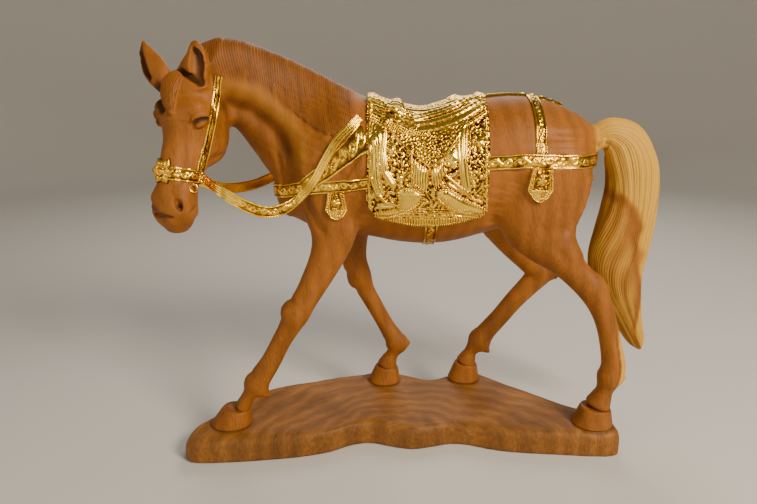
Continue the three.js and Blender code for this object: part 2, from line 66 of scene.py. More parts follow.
# Rows along each limb: x, y, height above the near soles, half depth, half width.
TRUNK = [
    (-136, 0, 285, 30, 22), (-124, 0, 288, 50, 40), (-100, 0, 300, 70, 56), (-68, 0, 309, 80, 64),
    (-30, 0, 306, 79, 68), (8, 0, 299, 79, 70), (40, 0, 299, 80, 71), (75, 0, 308, 80, 69),
    (110, 0, 317, 76, 67),
    (140, 0, 319, 74, 66), (170, 0, 314, 69, 62), (195, 0, 306, 60, 51), (211, 0, 301, 46, 36),
    (218, 0, 299, 30, 21),
]
NECK = [
    (-212, -40, 427, 28, 17), (-198, -31, 417, 38, 20), (-180, -19, 404, 42, 22), (-158, -9, 388, 48, 25),
    (-136, -3, 369, 56, 31), (-113, 0, 349, 65, 39), (-88, 0, 328, 74, 49), (-62, 0, 310, 78, 56),
]
LEGS = {
    "near_fore": [
        (-70, -38, 330, 26, 18), (-84, -43, 300, 34, 23), (-82, -44, 270, 33, 22), (-80, -46, 240, 26, 19),
        (-88, -49, 212, 20, 16), (-103, -51, 182, 16.5, 13.5), (-115, -52, 161, 15, 13),
        (-127, -53, 143, 17, 14.5),
        (-134, -53, 127, 13, 12), (-145, -54, 108, 11.5, 10), (-158, -55, 83, 12, 10),
        (-171, -55, 63, 13.5, 11.5),
        (-179, -55, 51, 15, 13), (-187, -55, 38, 8.5, 10), (-196, -55, 22, 9.5, 11)],
    "far_fore": [
        (-70, 38, 330, 26, 18), (-76, 43, 300, 34, 23), (-68, 44, 268, 32, 22), (-62, 45, 235, 24, 19),
        (-62, 46, 205, 19, 16), (-60, 47, 180, 16.5, 14), (-53, 48, 157, 16, 14), (-45, 48, 138, 12, 11.5),
        (-31, 48, 112, 11, 10), (-17, 48, 86, 11, 10), (-8, 48, 70, 13, 11.5), (-3, 48, 59, 15, 12.5),
        (-8, 48, 46, 8.5, 9.5), (-13, 48, 36, 11, 11.5), (-16, 48, 28, 13.5, 13.5)],
    "near_hind": [
        (166, -24, 345, 34, 20), (168, -33, 308, 47, 30), (159, -38, 275, 49, 28), (154, -41, 250, 40, 25),
        (166, -45, 230, 29, 20), (187, -48, 209, 20, 16.5), (206, -50, 190, 16.5, 14),
        (225, -52, 170, 16, 13.5),
        (236, -53, 150, 13.5, 12), (244, -54, 130, 12.5, 11), (251, -54, 105, 12.5, 10.5),
        (257, -55, 78, 14.5, 11.5),
        (254, -55, 62, 15.5, 14.5), (250, -55, 46, 10, 11), (247, -55, 36, 12, 12.5),
        (243, -55, 25, 15.5, 14.5)],
    "far_hind": [
        (164, 24, 345, 34, 20), (158, 33, 308, 47, 30), (142, 38, 270, 47, 28), (134, 41, 244, 38, 25),
        (142, 45, 220, 26, 20), (158, 49, 197, 20, 17), (175, 52, 178, 17, 15), (189, 53, 162, 17, 14),
        (178, 54, 145, 14.5, 12.5), (158, 54, 122, 13, 11.5), (140, 54, 98, 12.5, 11),
        (122, 54, 76, 13, 11.5),
        (112, 54, 62, 16, 13), (102, 54, 47, 8.5, 9.5), (98, 54, 38, 11, 11.5), (95, 54, 30, 13.5, 13.5)],
}
HOCKS = [
    [(190, -36, 300, 24, 18), (186, -39, 275, 21, 18), (182, -42, 252, 18, 16), (186, -46, 230, 15, 14),
     (198, -49, 210, 12, 12)],
    [(184, 36, 300, 24, 18), (172, 40, 270, 21, 18), (160, 43, 246, 18, 16), (158, 46, 226, 15, 14),
     (166, 50, 205, 12, 12)],
    [(214, -50, 188, 7, 7), (226, -52, 182, 9, 9), (236, -53, 174, 6, 6)],
    [(180, 52, 170, 9, 9), (197, 53, 163, 10, 9), (211, 53, 157, 6, 6)],
]
# Hooves: coronet x, y, radius; sole x, y, radius; height of the sole and of the wall.
HOOVES = [
    (-203, -55, 17, -211, -55, 25, 0, 19), (-16, 48, 15.5, -20, 48, 22, 5, 20),
    (241, -55, 18.5, 238, -55, 25, 0, 20), (95, 54, 15.5, 92, 54, 22, 5, 22),
]
TAIL = [
    (208, 0, 345, 13, 10), (228, 0, 346, 14, 11), (245, 0, 349, 19, 13), (263, 1, 338, 26, 16),
    (275, 2, 314, 30, 19),
    (280, 3, 285, 32, 20), (279, 4, 256, 34, 21), (275, 5, 225, 36, 21), (272, 6, 195, 36, 20),
    (276, 6, 167, 31, 17),
    (285, 6, 140, 24, 14), (296, 6, 112, 17, 11), (308, 6, 86, 11, 8), (315, 6, 72, 3, 3.5),
]
HEAD = [
    (-17, -10, 12, 12), (-10, -11, 22, 21), (2, -13, 30, 29), (16, -16, 35, 33), (32, -19, 39, 35),
    (45, -20, 40, 33),
    (58, -17, 37, 30), (68, -13, 32, 27), (76, -9, 28, 25.5), (86, -5, 25, 24), (98, -2, 22.5, 22.5),
    (112, -1, 21, 22.5), (126, 0, 22, 24.5), (138, -1, 22, 24), (148, -3, 18, 20), (156, -5, 10, 12),
]
# Ears: each a solid leaf and the bowl that is hollowed out of it, as t, out, left, half depth, half width.
EARS = [
    ([(6, 0, 21, 9, 10), (-5, 3, 17.5, 9, 14.5), (-17, 5, 15.5, 9, 17), (-28, 6, 16.5, 7.5, 12.5),
      (-36, 7, 15.5, 5.5, 8.5), (-41, 8, 14.5, 2.5, 5)],
     [(0, 14, 26, 8, 3.5), (-7, 14, 24.5, 10, 7), (-17, 14, 23.4, 11, 8.2), (-27, 13, 21.5, 9, 6.6),
      (-34, 12, 17, 6, 3)]),
    ([(4, 2, -25, 8, 10), (-7, 4, -33, 8.5, 15), (-16, 6, -41, 8, 15.5), (-25, 7, -48, 7, 12.5),
      (-35, 8, -54, 5, 8.5), (-43, 9, -56, 2, 2.5)],
     [(-4, 13, -41, 7, 3.2), (-13, 14, -48.5, 10, 5.5), (-22, 14, -53, 10, 5.6), (-31, 13, -57, 7, 4.6),
      (-38, 12, -57.5, 5, 2.5)]),
]
FORELOCK = [
    (-12, 0, -2, 7, 9), (-5, 13, -3.5, 5, 10), (6, 19, -3.5, 4.5, 11), (17, 21.5, -2, 4.5, 9.5),
    (27, 22, 0.5, 4, 6.5), (35, 21, 3.5, 2.5, 2.5),
]
CREST = [
    (-234, -44, 421, 7, 8), (-222, -40, 435, 9, 9), (-205, -33, 440, 9, 9), (-184, -24, 440, 9, 9),
    (-160, -12, 434, 9, 9),
    (-129, -4, 420, 9, 9), (-95, -1, 403, 9, 8), (-67, 0, 388, 8, 7), (-47, 0, 379, 5, 5),
]
MANE_HEM = [
    (-226, 420), (-206, 415), (-180, 411), (-160, 404), (-146, 394), (-129, 380), (-106, 363), (-86, 353),
    (-74, 350), (-60, 362), (-46, 385),
]
# The mane lies on the neck between the first two, and its hem goes from soft to sharp between the others.
MANE_START, MANE_END = -236, -46
HEM_SOFT, HEM_SHARP = -150, -115

EYE_LINE = [(36.8, 2, 34.5), (38.4, 7, 32), (41.5, 10.5, 28.5), (45.5, 11.5, 25)]
MOUTH_LINE = [(143.5, 19, 0), (143.5, 15, 10), (140.5, 8, 17.5), (134, 0, 22.5), (128, -8, 25)]
THROAT_LINE = [(-200, -45, 384), (-174, -40, 376), (-149, -36, 358), (-132, -36, 334)]
# The ridge of the neck in side view, as x, z, which gets a painted highlight on the near side.
LIT_NECK_RIDGE = [(-194, 404), (-161, 396), (-136, 373), (-114, 350), (-114, 322)]
EAR_SHADOW = [(-12, 7.4, -2.4), (-9.4, 8.7, 6), (-5.1, 9, 14.9), (-1.5, 6.5, 21.1), (0.4, 5.8, 26.1)]
TEMPLE_SHADOW = [(6, 8, -31), (14, 10, -26), (23, 11.7, -20), (31, 12.6, -14)]
LIP_SHADOW = [(133, 17, -17), (138, 20.3, -9), (142, 16, -4), (144, 15.3, 4)]
BOTH, ONE = (1, -1), (1,)
# Lines carved on the head: its sides, radius, depth, and places as t, out, left.
BONE_LINES = [
    (BOTH, 6, 2.2, [(12, 16, 17), (14, 6, 28), (22, -4, 36)]),
    (BOTH, 3.4, 1.6, [(52, 6, 28), (64, 3, 27), (80, 0, 25)]),
    (BOTH, 3.4, -2.6, [(52, -4, 34), (68, -7, 30), (86, -7, 25)]),
    (BOTH, 6, 2.4, [(60, -16, 33), (82, -14, 27), (100, -10, 23)]),
    (BOTH, 5.0, 2.2, [(58, 13, 21), (80, 13, 17), (104, 12, 15)]),
    (ONE, 8, -1.4, [(44, 18, 0), (70, 17, 0), (100, 17, 0)]),
    (BOTH, 4.5, 2.4, [(76, -26, 24), (68, -36, 24), (52, -52, 20)]),
    (BOTH, 6, 3.0, [(40, 11, 23), (45, 9, 25)]),
]
UPPER_LID = [(33, 0, 35), (33.5, 6, 32.5), (36, 11, 28.5), (40.5, 14, 24.5), (46, 13.5, 22)]
EYE_LINES = [
    (BOTH, 2.6, -3.2, UPPER_LID),
    (BOTH, 1.7, -1.5, [(36.5, -1, 34), (42.5, 2, 31.5), (46.5, 6, 28), (48, 10, 24.5)]),
    (BOTH, 1.25, 2.6, EYE_LINE),
    (BOTH, 1.5, 1.5, [(t - 5.0, out + 1, left) for t, out, left in UPPER_LID]),
    (BOTH, 2.0, 1.2, [(50.5, 1, 30), (52.5, 6, 27), (53, 11, 23)]),
]
MUZZLE_LINES = [
    (BOTH, 3.6, 8.0, [(128, 15, 17), (131, 13, 17.5), (134, 11, 17)]),
    (BOTH, 2.2, -1.9, [(123.5, 13, 19), (125, 16, 13), (131, 17, 11), (137, 14, 13)]),
    (BOTH, 2.2, -1.5, [(124, 10, 23), (130, 6, 24), (137, 8, 21)]),
    (BOTH, 2.2, 3.4, MOUTH_LINE),
    (ONE, 3.8, 2.2, [(141, 17, -4), (139, 14, -12), (134, 9, -20), (128, 5, -24)]),
    (BOTH, 2.4, -1.4, [(129, -12, 24), (133, -14, 23), (139, -13, 20)]),
    (BOTH, 3.2, -1.0, [(136, 19, 0), (137, 17, 8)]),
]
# Lines carved on both sides of the body in side view: radius, depth, and places as x, z.
BODY_LINES = [
    (8, 6.0, [(-198, 384), (-172, 376), (-148, 356), (-132, 332), (-127, 310)]),
    (9, -3.0, [(-190, 406), (-161, 397), (-136, 374), (-113, 352), (-113, 322)]),
    (14, -2.2, [(-70, 372), (-98, 330), (-120, 300)]),
    (4.5, 3.2, [(-112, 296), (-108, 276), (-98, 256), (-92, 246)]),
    (8, 3.6, [(-44, 300), (-50, 275), (-60, 258)]),
    (11, 3.6, [(124, 300), (112, 280), (102, 266)]),
    (5, 2.2, [(206, 306), (197, 272), (184, 246)]),
    (16, -1.4, [(120, 372), (160, 362), (196, 336)]),
    (7, 1.1, [(150, 345), (176, 318), (186, 292)]),
]
# Places on the head with painted shade: both sides or one, t, out, left, reach and depth of tone.
PAINTED_SHADE_PLACES = (
    (1, 131, 11, 17.5, 5.0, 0.95), (0, 135, 9, -18, 8, 0.8), (0, 130, 6, -24, 7, 0.7),
    (0, 14, 11, -19, 7, 0.6))
HEAD_TURN = math.radians(65)
HEAD_DROP = math.radians(14)
CROWN = np.array([-236.0, -48.0, 406.0])
FACING = np.array([-math.cos(HEAD_TURN), -math.sin(HEAD_TURN), 0.0])
HEAD_LEFT = np.array([math.sin(HEAD_TURN), -math.cos(HEAD_TURN), 0.0])
HEAD_DOWN = FACING * math.sin(HEAD_DROP) - np.array([0, 0, math.cos(HEAD_DROP)])
HEAD_OUT = FACING * math.cos(HEAD_DROP) + np.array([0, 0, math.sin(HEAD_DROP)])


def on_head(t, out, left):
    """A place on the head: t down the face, out from it, left towards the horse's left."""
    return CROWN + HEAD_DOWN * t + HEAD_OUT * out + HEAD_LEFT * left


def head_side(t, out):
    """How far the side of the head lies from its middle plane."""
    table = np.array(HEAD)
    mid, deep, wide = (np.interp(t, table[:, 0], table[:, i]) for i in (1, 2, 3))
    return wide * math.sqrt(max(0.0, 1 - ((out - mid) / deep) ** 2))


def smooth(value, low, high):
    share = np.clip((value - low) / (high - low), 0, 1)
    return share * share * (3 - 2 * share)


def unit(vectors):
    return vectors / np.maximum(np.linalg.norm(vectors, axis=-1, keepdims=True), 1e-9)


def curve_through(rows, steps):
    """Rows joined by a smooth curve, with this many points to each span."""
    rows = np.asarray(rows, float)
    last = len(rows) - 1
    t = (np.arange(steps) / steps)[:, None]
    spans = []
    for i in range(last):
        a, b, c, d = rows[max(i - 1, 0)], rows[i], rows[i + 1], rows[min(i + 2, last)]
        bend = (2 * a - 5 * b + 4 * c - d) * t ** 2 + (3 * b - a - 3 * c + d) * t ** 3
        spans.append(0.5 * (2 * b + (c - a) * t + bend))
    return np.concatenate(spans + [rows[last:]])


def dot(place, way):
    return place[0] * way[0] + place[1] * way[1] + place[2] * way[2]


def minus(place, way, share=1):
    return [c - share * w for c, w in zip(place, way)]


def spread(*parts):
    """Coordinates of different shapes, brought to one grid of places."""
    return np.stack(np.broadcast_arrays(*parts), -1).astype(float)


def steps(fine, coarse):
    return fine


def run_length(path):
    """How far along a path each of its points lies."""
    return np.concatenate([[0], np.cumsum(np.linalg.norm(np.diff(path, axis=0), axis=1))])


def noise(points, scale, seed):
    """Smooth noise from -1 to 1 made of a few waves with fixed directions."""
    rng = np.random.default_rng(seed)
    total = np.zeros(points.shape[:-1])
    for i in range(6):
        wave = rng.normal(size=points.shape[-1])
        wave *= (1 + 0.35 * i) / (scale * np.linalg.norm(wave))
        total += np.sin(points @ wave * 2 * math.pi + rng.uniform(0, 6.28)) / (1 + 0.3 * i)
    return total / 3.4


# The wood as a field: negative inside, and close to the distance from the surface near it.

def oval_value(parts, sizes):
    """About the distance from an oval's skin, for a place given in shares of the oval's half sizes."""
    first = np.sqrt(sum(part * part for part in parts)) + 1e-6
    second = np.sqrt(sum((part / size) ** 2 for part, size in zip(parts, sizes))) + 1e-6
    return first * (first - 1) / second


class Field:
    """A field of distances on a grid whose lines stand closer where the form is finer."""

    def __init__(self, coarse, fine):
        ranges = [
            [(-296, -190, fine), (-190, 242, coarse), (242, 282, coarse)],
            [(-110, -4, fine), (-4, 84, coarse)],
            [(-5, 262, coarse), (262, 466, fine)],
        ]
        self.axes = [
            np.concatenate([*(np.arange(*span) for span in spans), [spans[-1][1]]]).astype(np.float32)
            for spans in ranges]
        self.values = np.full([len(axis) for axis in self.axes], 60, np.float32)

    def window(self, low, high):
        """The grid's part between two corners: its slices and its coordinates."""
        cuts = tuple(slice(*np.searchsorted(axis, (low[i], high[i]))) for i, axis in enumerate(self.axes))
        parts = [axis[cut] for axis, cut in zip(self.axes, cuts)]
        return cuts, parts[0][:, None, None], parts[1][None, :, None], parts[2][None, None, :]

    def join(self, cuts, other, blend):
        here = self.values[cuts]
        overlap = np.maximum(blend - np.abs(here - other), 0) / blend
        self.values[cuts] = np.minimum(here, other) - overlap * overlap * blend / 4

    def limb(self, rows, side=LEFT, steps=3, blend=9.0, cap=6.0, cut_by=None, broad=False):
        """Joins a limb of oval sections, or a shell where cut_by gives its hollow."""
        low, high = np.array(rows)[:, :3].min(0) - 96, np.array(rows)[:, :3].max(0) + 96
        cuts, *grid = self.window(low, high)
        solid = (self.loft_field if broad else self.oval_field)(rows, side, steps, cap, grid)
        if broad == "bent":
            solid = np.minimum(solid, self.oval_field(rows, side, steps, cap, grid))
        if cut_by is not None:
            solid = np.maximum(solid, -self.oval_field(cut_by, side, steps, cap, grid))
        self.join(cuts, solid, blend)

    @staticmethod
    def limb_axes(rows, side, steps):
        """A limb's rows joined by a curve, with the ways along, across and up at each point."""
        points = curve_through(rows, steps)
        along = unit(np.gradient(points[:, :3], axis=0))
        across = unit(side - along * (along @ side)[:, None])
        return points, along, across, np.cross(along, across)

    @staticmethod
    def near_spans(points, starts, ends, grid):
        """Each span of a limb, with the part of the grid near it seen from the span's start."""
        flat = [axis.ravel() for axis in grid]
        x, y, z = grid
        for i, (a, b) in enumerate(zip(points[:-1], points[1:])):
            low = np.minimum(a[:3] - starts[i], b[:3] - ends[i])
            high = np.maximum(a[:3] + starts[i], b[:3] + ends[i])
            near = tuple(slice(*np.searchsorted(axis, (low[k], high[k]))) for k, axis in enumerate(flat))
            places = x[near[0]] - a[0], y[:, near[1]] - a[1], z[:, :, near[2]] - a[2]
            if all(axis.size for axis in places):
                yield i, near, places, a, b

    def loft_field(self, rows, side, steps, cap, grid):
        """The field of a broad limb, whose sections hand over to each other without a seam."""
        points, along, across, up = self.limb_axes(rows, side, steps)
        out = np.full(np.broadcast_shapes(*(axis.shape for axis in grid)), 60, np.float32)
        reach = np.abs(across) * points[:, 4:5] + np.abs(up) * points[:, 3:4] + 16
        last = len(points) - 2
        for i, near, p, a, b in self.near_spans(points, reach[:-1], reach[1:], grid):
            step = b[:3] - a[:3]
            before = dot(p, along[i])
            after = -dot(minus(p, step), along[i + 1])
            share = np.clip(before / np.maximum(before + after, 1e-3), 0, 1)
            q = minus(p, step, share)
            deep, wide = (a[k] + share * (b[k] - a[k]) for k in (3, 4))
            pw = (dot(q, across[i]) + share * dot(q, across[i + 1] - across[i])) / wide
            pu = (dot(q, up[i]) + share * dot(q, up[i + 1] - up[i])) / deep
            beyond = np.maximum(-before if i == 0 else 0, -after if i == last else 0)
            value = oval_value((pw, pu, np.maximum(beyond, 0) / cap), (wide, deep, cap))
            outside = ((before < 0) & (i > 0)) | ((after < 0) & (i < last))
            out[near] = np.minimum(out[near], np.where(outside, 60, value))
        return out

    def oval_field(self, rows, side, steps, cap, grid):
        """The field of a slender limb, span by span, rounded where it bends."""
        points, _, across, up = self.limb_axes(rows, side, steps)
        out = np.full(np.broadcast_shapes(*(axis.shape for axis in grid)), 60, np.float32)
        runs = np.diff(points[:, :3], axis=0)
        size = np.maximum(points[:-1, 3:], points[1:, 3:]).max(1)[:, None] + 16
        reach = size * np.sqrt(np.maximum(0, 1 - unit(runs) ** 2)) + 9
        for i, near, p, a, b in self.near_spans(points, reach, reach, grid):
            share = np.clip(dot(p, runs[i]) / (runs[i] @ runs[i]), 0, 1)
            q = minus(p, runs[i], share)
            deep, wide = (a[k] + share * (b[k] - a[k]) for k in (3, 4))
            ways = unit(across[i] + across[i + 1]), unit(up[i] + up[i + 1]), unit(runs[i])
            sizes = wide, deep, cap
            value = oval_value([dot(q, way) / half for way, half in zip(ways, sizes)], sizes)
            out[near] = np.minimum(out[near], value)
        return out

    def ball(self, centre, radii, axes=np.eye(3), blend=6.0):
        centre, radii = np.asarray(centre, float), np.asarray(radii, float)
        cuts, *grid = self.window(centre - radii.max() - 12, centre + radii.max() + 12)
        parts = [dot(minus(grid, centre), axis) / r for axis, r in zip(axes, radii)]
        self.join(cuts, oval_value(parts, radii), blend)

    def stroke(self, points, radius, amount):
        """Carves along a line of places, or raises it where the amount is below zero."""
        points = np.asarray(points, float)
        cuts, *grid = self.window(points.min(0) - 2.4 * radius, points.max(0) + 2.4 * radius)
        self.values[cuts] += amount * np.exp(-self.line_distance(points, grid) / radius ** 2)

    def side_stroke(self, points, radius, amount, near=True):
        """The same, drawn in side view on the near or the far side."""
        points = np.array([(x, 0, z) for x, z in points], float)
        low, high = points.min(0) - 2.4 * radius, points.max(0) + 2.4 * radius
        low[1], high[1] = (-200, -2) if near else (2, 200)
        cuts, x, y, z = self.window(low, high)
        self.values[cuts] += amount * np.exp(-self.line_distance(points, (x, 0 * y, z)) / radius ** 2)

    @staticmethod
    def line_distance(points, grid):
        """The square of the distance from a line of places."""
        best = None
        for a, b in zip(points[:-1], points[1:]):
            p, step = minus(grid, a), b - a
            share = np.clip(dot(p, step) / max(step @ step, 1e-6), 0, 1)
            gap = sum(c ** 2 for c in minus(p, step, share))
            best = gap if best is None else np.minimum(best, gap)
        return best

    def sample(self, points, values=None):
        """Values and slopes of the field at any points."""
        values = self.values if values is None else values
        index = [np.clip(np.interp(points[:, k], axis, np.arange(len(axis))), 0, len(axis) - 1.001)
                 for k, axis in enumerate(self.axes)]
        cell = [i.astype(int) for i in index]
        part = [i - c for i, c in zip(index, cell)]
        value = np.zeros(len(points))
        slope = np.zeros((len(points), 3))
        for corner in range(8):
            bits = [(corner >> k) & 1 for k in range(3)]
            weight = [p if bit else 1 - p for p, bit in zip(part, bits)]
            v = values[cell[0] + bits[0], cell[1] + bits[1], cell[2] + bits[2]]
            value += v * weight[0] * weight[1] * weight[2]
            for k in range(3):
                rest = np.prod([weight[m] for m in range(3) if m != k], axis=0)
                slope[:, k] += v * rest * (1 if bits[k] else -1)
        for k, axis in enumerate(self.axes):
            slope[:, k] /= np.diff(axis)[cell[k]]
        return value, slope

    def surface(self):
        """The surface where the field is zero, as points and four-sided faces that point outwards."""
        values = self.values
        inside = values < 0
        nx, ny, nz = (size - 1 for size in inside.shape)
        count = sum(inside[a:nx + a, b:ny + b, c:nz + c].astype(np.int8)
                    for a in (0, 1) for b in (0, 1) for c in (0, 1))
        mixed = (count > 0) & (count < 8)
        cells = np.argwhere(mixed)
        number = np.full(mixed.shape, -1, np.int64)
        number[mixed] = np.arange(len(cells))
        total, hits = np.zeros((len(cells), 3)), np.zeros(len(cells))
        faces = []
        for k in range(3):
            m, n = (k + 1) % 3, (k + 2) % 3
            for a in (0, 1):
                for b in (0, 1):
                    start = cells.copy()
                    start[:, m] += a
                    start[:, n] += b
                    end = start.copy()
                    end[:, k] += 1
                    v0, v1 = values[tuple(start.T)], values[tuple(end.T)]
                    cross = (v0 < 0) != (v1 < 0)
                    place = start[cross].astype(float)
                    place[:, k] += v0[cross] / (v0[cross] - v1[cross])
                    total[cross] += place
                    hits[cross] += 1
            shape = list(inside.shape)
            lower = [slice(1, s - 1) for s in shape]
            lower[k] = slice(0, shape[k] - 1)
            upper = list(lower)
            upper[k] = slice(1, shape[k])
            first, second = inside[tuple(lower)], inside[tuple(upper)]
            for flip, edges in ((False, np.argwhere(first & ~second)), (True, np.argwhere(~first & second))):
                base = edges.copy()
                base[:, m] += 1
                base[:, n] += 1
                corners = []
                for a, b in ((0, 0), (1, 0), (1, 1), (0, 1)):
                    at = base.copy()
                    at[:, m] -= 1 - a
                    at[:, n] -= 1 - b
                    corners.append(number[tuple(at.T)])
                quads = np.stack(corners, 1)
                faces.append(quads[:, ::-1] if flip else quads)
        index = total / hits[:, None]
        points = [np.interp(index[:, k], np.arange(len(axis)), axis) for k, axis in enumerate(self.axes)]
        return np.stack(points, 1), np.concatenate(faces)


def relax(points, faces, rounds, amount):
    """Evens out a mesh by moving its points towards their neighbours."""
    edges = np.concatenate([faces[:, [i, (i + 1) % 4]] for i in range(4)])
    links = np.bincount(edges.ravel(), minlength=len(points))
    for _ in range(rounds):
        total = sum(
            np.stack([np.bincount(edges[:, i], points[edges[:, 1 - i], k], len(points)) for k in range(3)], 1)
            for i in (0, 1))
        points = points + amount * (total / np.maximum(links, 1)[:, None] - points)
    return points


# Meshes.

def new_mesh(name, points, faces, tones):
    """A mesh object from points in millimetres above the near soles, at the origin."""
    mesh = bpy.data.meshes.new(name)
    points = (np.asarray(points, float) + (0, 0, SOLE)) * 0.001
    faces = np.asarray(faces)
    mesh.vertices.add(len(points))
    mesh.vertices.foreach_set("co", points.ravel())
    sides = faces.shape[1]
    mesh.loops.add(faces.size)
    mesh.loops.foreach_set("vertex_index", faces.ravel())
    mesh.polygons.add(len(faces))
    mesh.polygons.foreach_set("loop_start", np.arange(len(faces)) * sides)
    mesh.polygons.foreach_set("use_smooth", np.full(len(faces), True))
    mesh.update(calc_edges=True)
    layer = mesh.color_attributes.new("tone", "FLOAT_COLOR", "POINT")
    colours = np.pad(tones, ((0, 0), (0, 1)), constant_values=1)
    layer.data.foreach_set("color", colours.astype(np.float32).ravel())
    mesh.validate()
    piece = bpy.data.objects.new(name, mesh)
    bpy.context.scene.collection.objects.link(piece)
    return piece


def grid_faces(rows, columns, wrap=False):
    i, j = np.meshgrid(np.arange(rows - 1), np.arange(columns - (not wrap)), indexing="ij")
    a, b = i * columns + j, i * columns + (j + 1) % columns
    return np.stack([a, b, b + columns, a + columns], -1).reshape(-1, 4)


def closed_tube(rings, first, last):
    """Triangles through rings of points, closed by a fan at each end and facing outwards."""
    rows, around = rings.shape[:2]
    quads = grid_faces(rows, around, wrap=True)
    j = np.arange(around)
    count = rows * around
    order = np.concatenate([
        quads[:, [0, 1, 2]], quads[:, [0, 2, 3]],
        np.stack([np.full(around, count), (j + 1) % around, j], 1),
        np.stack([np.full(around, count + 1), count - around + j, count - around + (j + 1) % around], 1)])
    points = np.concatenate([rings.reshape(-1, 3), [first, last]])
    a, b, c = (points[order[:, k]] for k in range(3))
    return points, order[:, ::-1] if (np.cross(a, b) * c).sum() < 0 else order


def relief_sheet(top, bottom):
    """Points and faces of a closed sheet between two grids of points, the first facing outwards."""
    rows, columns = top.shape[:2]
    count = rows * columns
    upper = grid_faces(rows, columns)
    cross = np.cross(top[1, 1] - top[0, 0], top[0, 1] - top[1, 0])
    if cross @ (top[0, 0] - bottom[0, 0]) < 0:
        upper = upper[:, ::-1]
    lower = upper[:, ::-1] + count
    number = np.arange(count).reshape(rows, columns)
    ring = np.concatenate([number[0, :-1], number[:-1, -1], number[-1, :0:-1], number[:0:-1, 0]])
    after = np.roll(ring, -1)
    walls = np.stack([ring, after, after + count, ring + count], 1)
    if np.cross(top[0, 1] - top[0, 0], bottom[0, 0] - top[0, 0]) @ (top[1, 0] - top[0, 0]) > 0:
        walls = walls[:, ::-1]
    return np.concatenate([top.reshape(-1, 3), bottom.reshape(-1, 3)]), np.concatenate([upper, lower, walls])


def merge_sheets(sheets):
    points, faces, tones, start = [], [], [], 0
    for sheet_points, sheet_faces, sheet_tones in sheets:
        if sheet_faces.shape[1] == 4:
            sheet_faces = np.concatenate([sheet_faces[:, [0, 1, 2]], sheet_faces[:, [0, 2, 3]]])
        points.append(sheet_points)
        faces.append(sheet_faces + start)
        tones.append(sheet_tones)
        start += len(sheet_points)
    return np.concatenate(points), np.concatenate(faces), np.concatenate(tones)


def thin_out(piece, limit):
    """Brings a piece under a number of triangles, mostly where it is flat."""
    triangles = sum(len(p.vertices) - 2 for p in piece.data.polygons)
    if triangles <= limit:
        return
    modifier = piece.modifiers.new("thin", "DECIMATE")
    modifier.ratio = limit / triangles
    apply_modifiers(piece)


def apply_modifiers(piece):
    """Turns the evaluated object into its plain mesh and removes its modifiers."""
    bpy.context.view_layer.update()
    graph = bpy.context.evaluated_depsgraph_get()
    mesh = bpy.data.meshes.new_from_object(
        piece.evaluated_get(graph), preserve_all_data_layers=True, depsgraph=graph)
    old = piece.data
    piece.modifiers.clear()
    piece.data = mesh
    bpy.data.meshes.remove(old)


def finish_piece(piece, material, slot, *nodes):
    piece.data.materials.clear()
    piece.data.materials.append(material)
    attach(piece, "root")
    if nodes:
        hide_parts(*nodes)
    return piece


# The horse.

def carve_lines(field, lines):
    """Carves the lines of a table on one or both sides of the head."""
    for sides, radius, depth, line in lines:
        for mirror in sides:
            field.stroke([on_head(t, out, mirror * left) for t, out, left in line], radius, depth)


def head_rows(table):
    """A limb's rows from places on the head with the half depth and half width there."""
    return [(*on_head(t, out, left), deep, wide) for t, out, left, deep, wide in table]


def carve_head(field):
    axes = (HEAD_LEFT, HEAD_OUT, HEAD_DOWN)
    rows = head_rows([(t, out, 0, deep, wide) for t, out, deep, wide in HEAD])
    field.limb(rows, side=HEAD_LEFT, steps=3, blend=12, cap=5, broad=True)
    for mirror in BOTH:
        field.ball(on_head(30, 3, mirror * 20), (14, 13, 15), axes, 9)
        field.ball(on_head(129, 8, mirror * 12), (11, 9, 13), axes, 9)
        field.ball(on_head(56, -32, mirror * 12), (19, 22, 24), axes, 8)
    field.ball(on_head(149, -9, 0), (15, 10, 9), axes, 6)
    # Bones of the face, eyes with their lids, then nostrils, mouth and chin.
    carve_lines(field, BONE_LINES)
    for mirror in BOTH:
        field.ball(on_head(41, 3.4, mirror * 26), (6.2, 6.8, 6.0), axes, 2.0)
    carve_lines(field, EYE_LINES + MUZZLE_LINES)
    # The forelock falls between the eyes, with a hollow beside it.
    field.limb(head_rows(FORELOCK), side=HEAD_LEFT, steps=4, blend=2.5, cap=3)
    carve_lines(field, [(ONE, 5.0, 5.5, [(8, 10, -18), (20, 13, -18), (30, 14, -14)])])
    for leaf, bowl in EARS:
        field.limb(head_rows(leaf), side=HEAD_LEFT, steps=4, blend=5, cap=2.5, cut_by=head_rows(bowl))
    carve_lines(field, [(ONE, 3.4, 6.0, EAR_SHADOW), (ONE, 3.0, 3.0, [(2, 9, -30), (6, 12, -24)])])


def joint_line(joint, step, back, shift, reach):
    """A line over the front of a joint, this far along the leg from its middle."""
    middle = joint[:3] + step * shift
    return [middle - back * (reach if side else reach + 5) + (0, side * 11, 0) for side in (-1, 0, 1)]


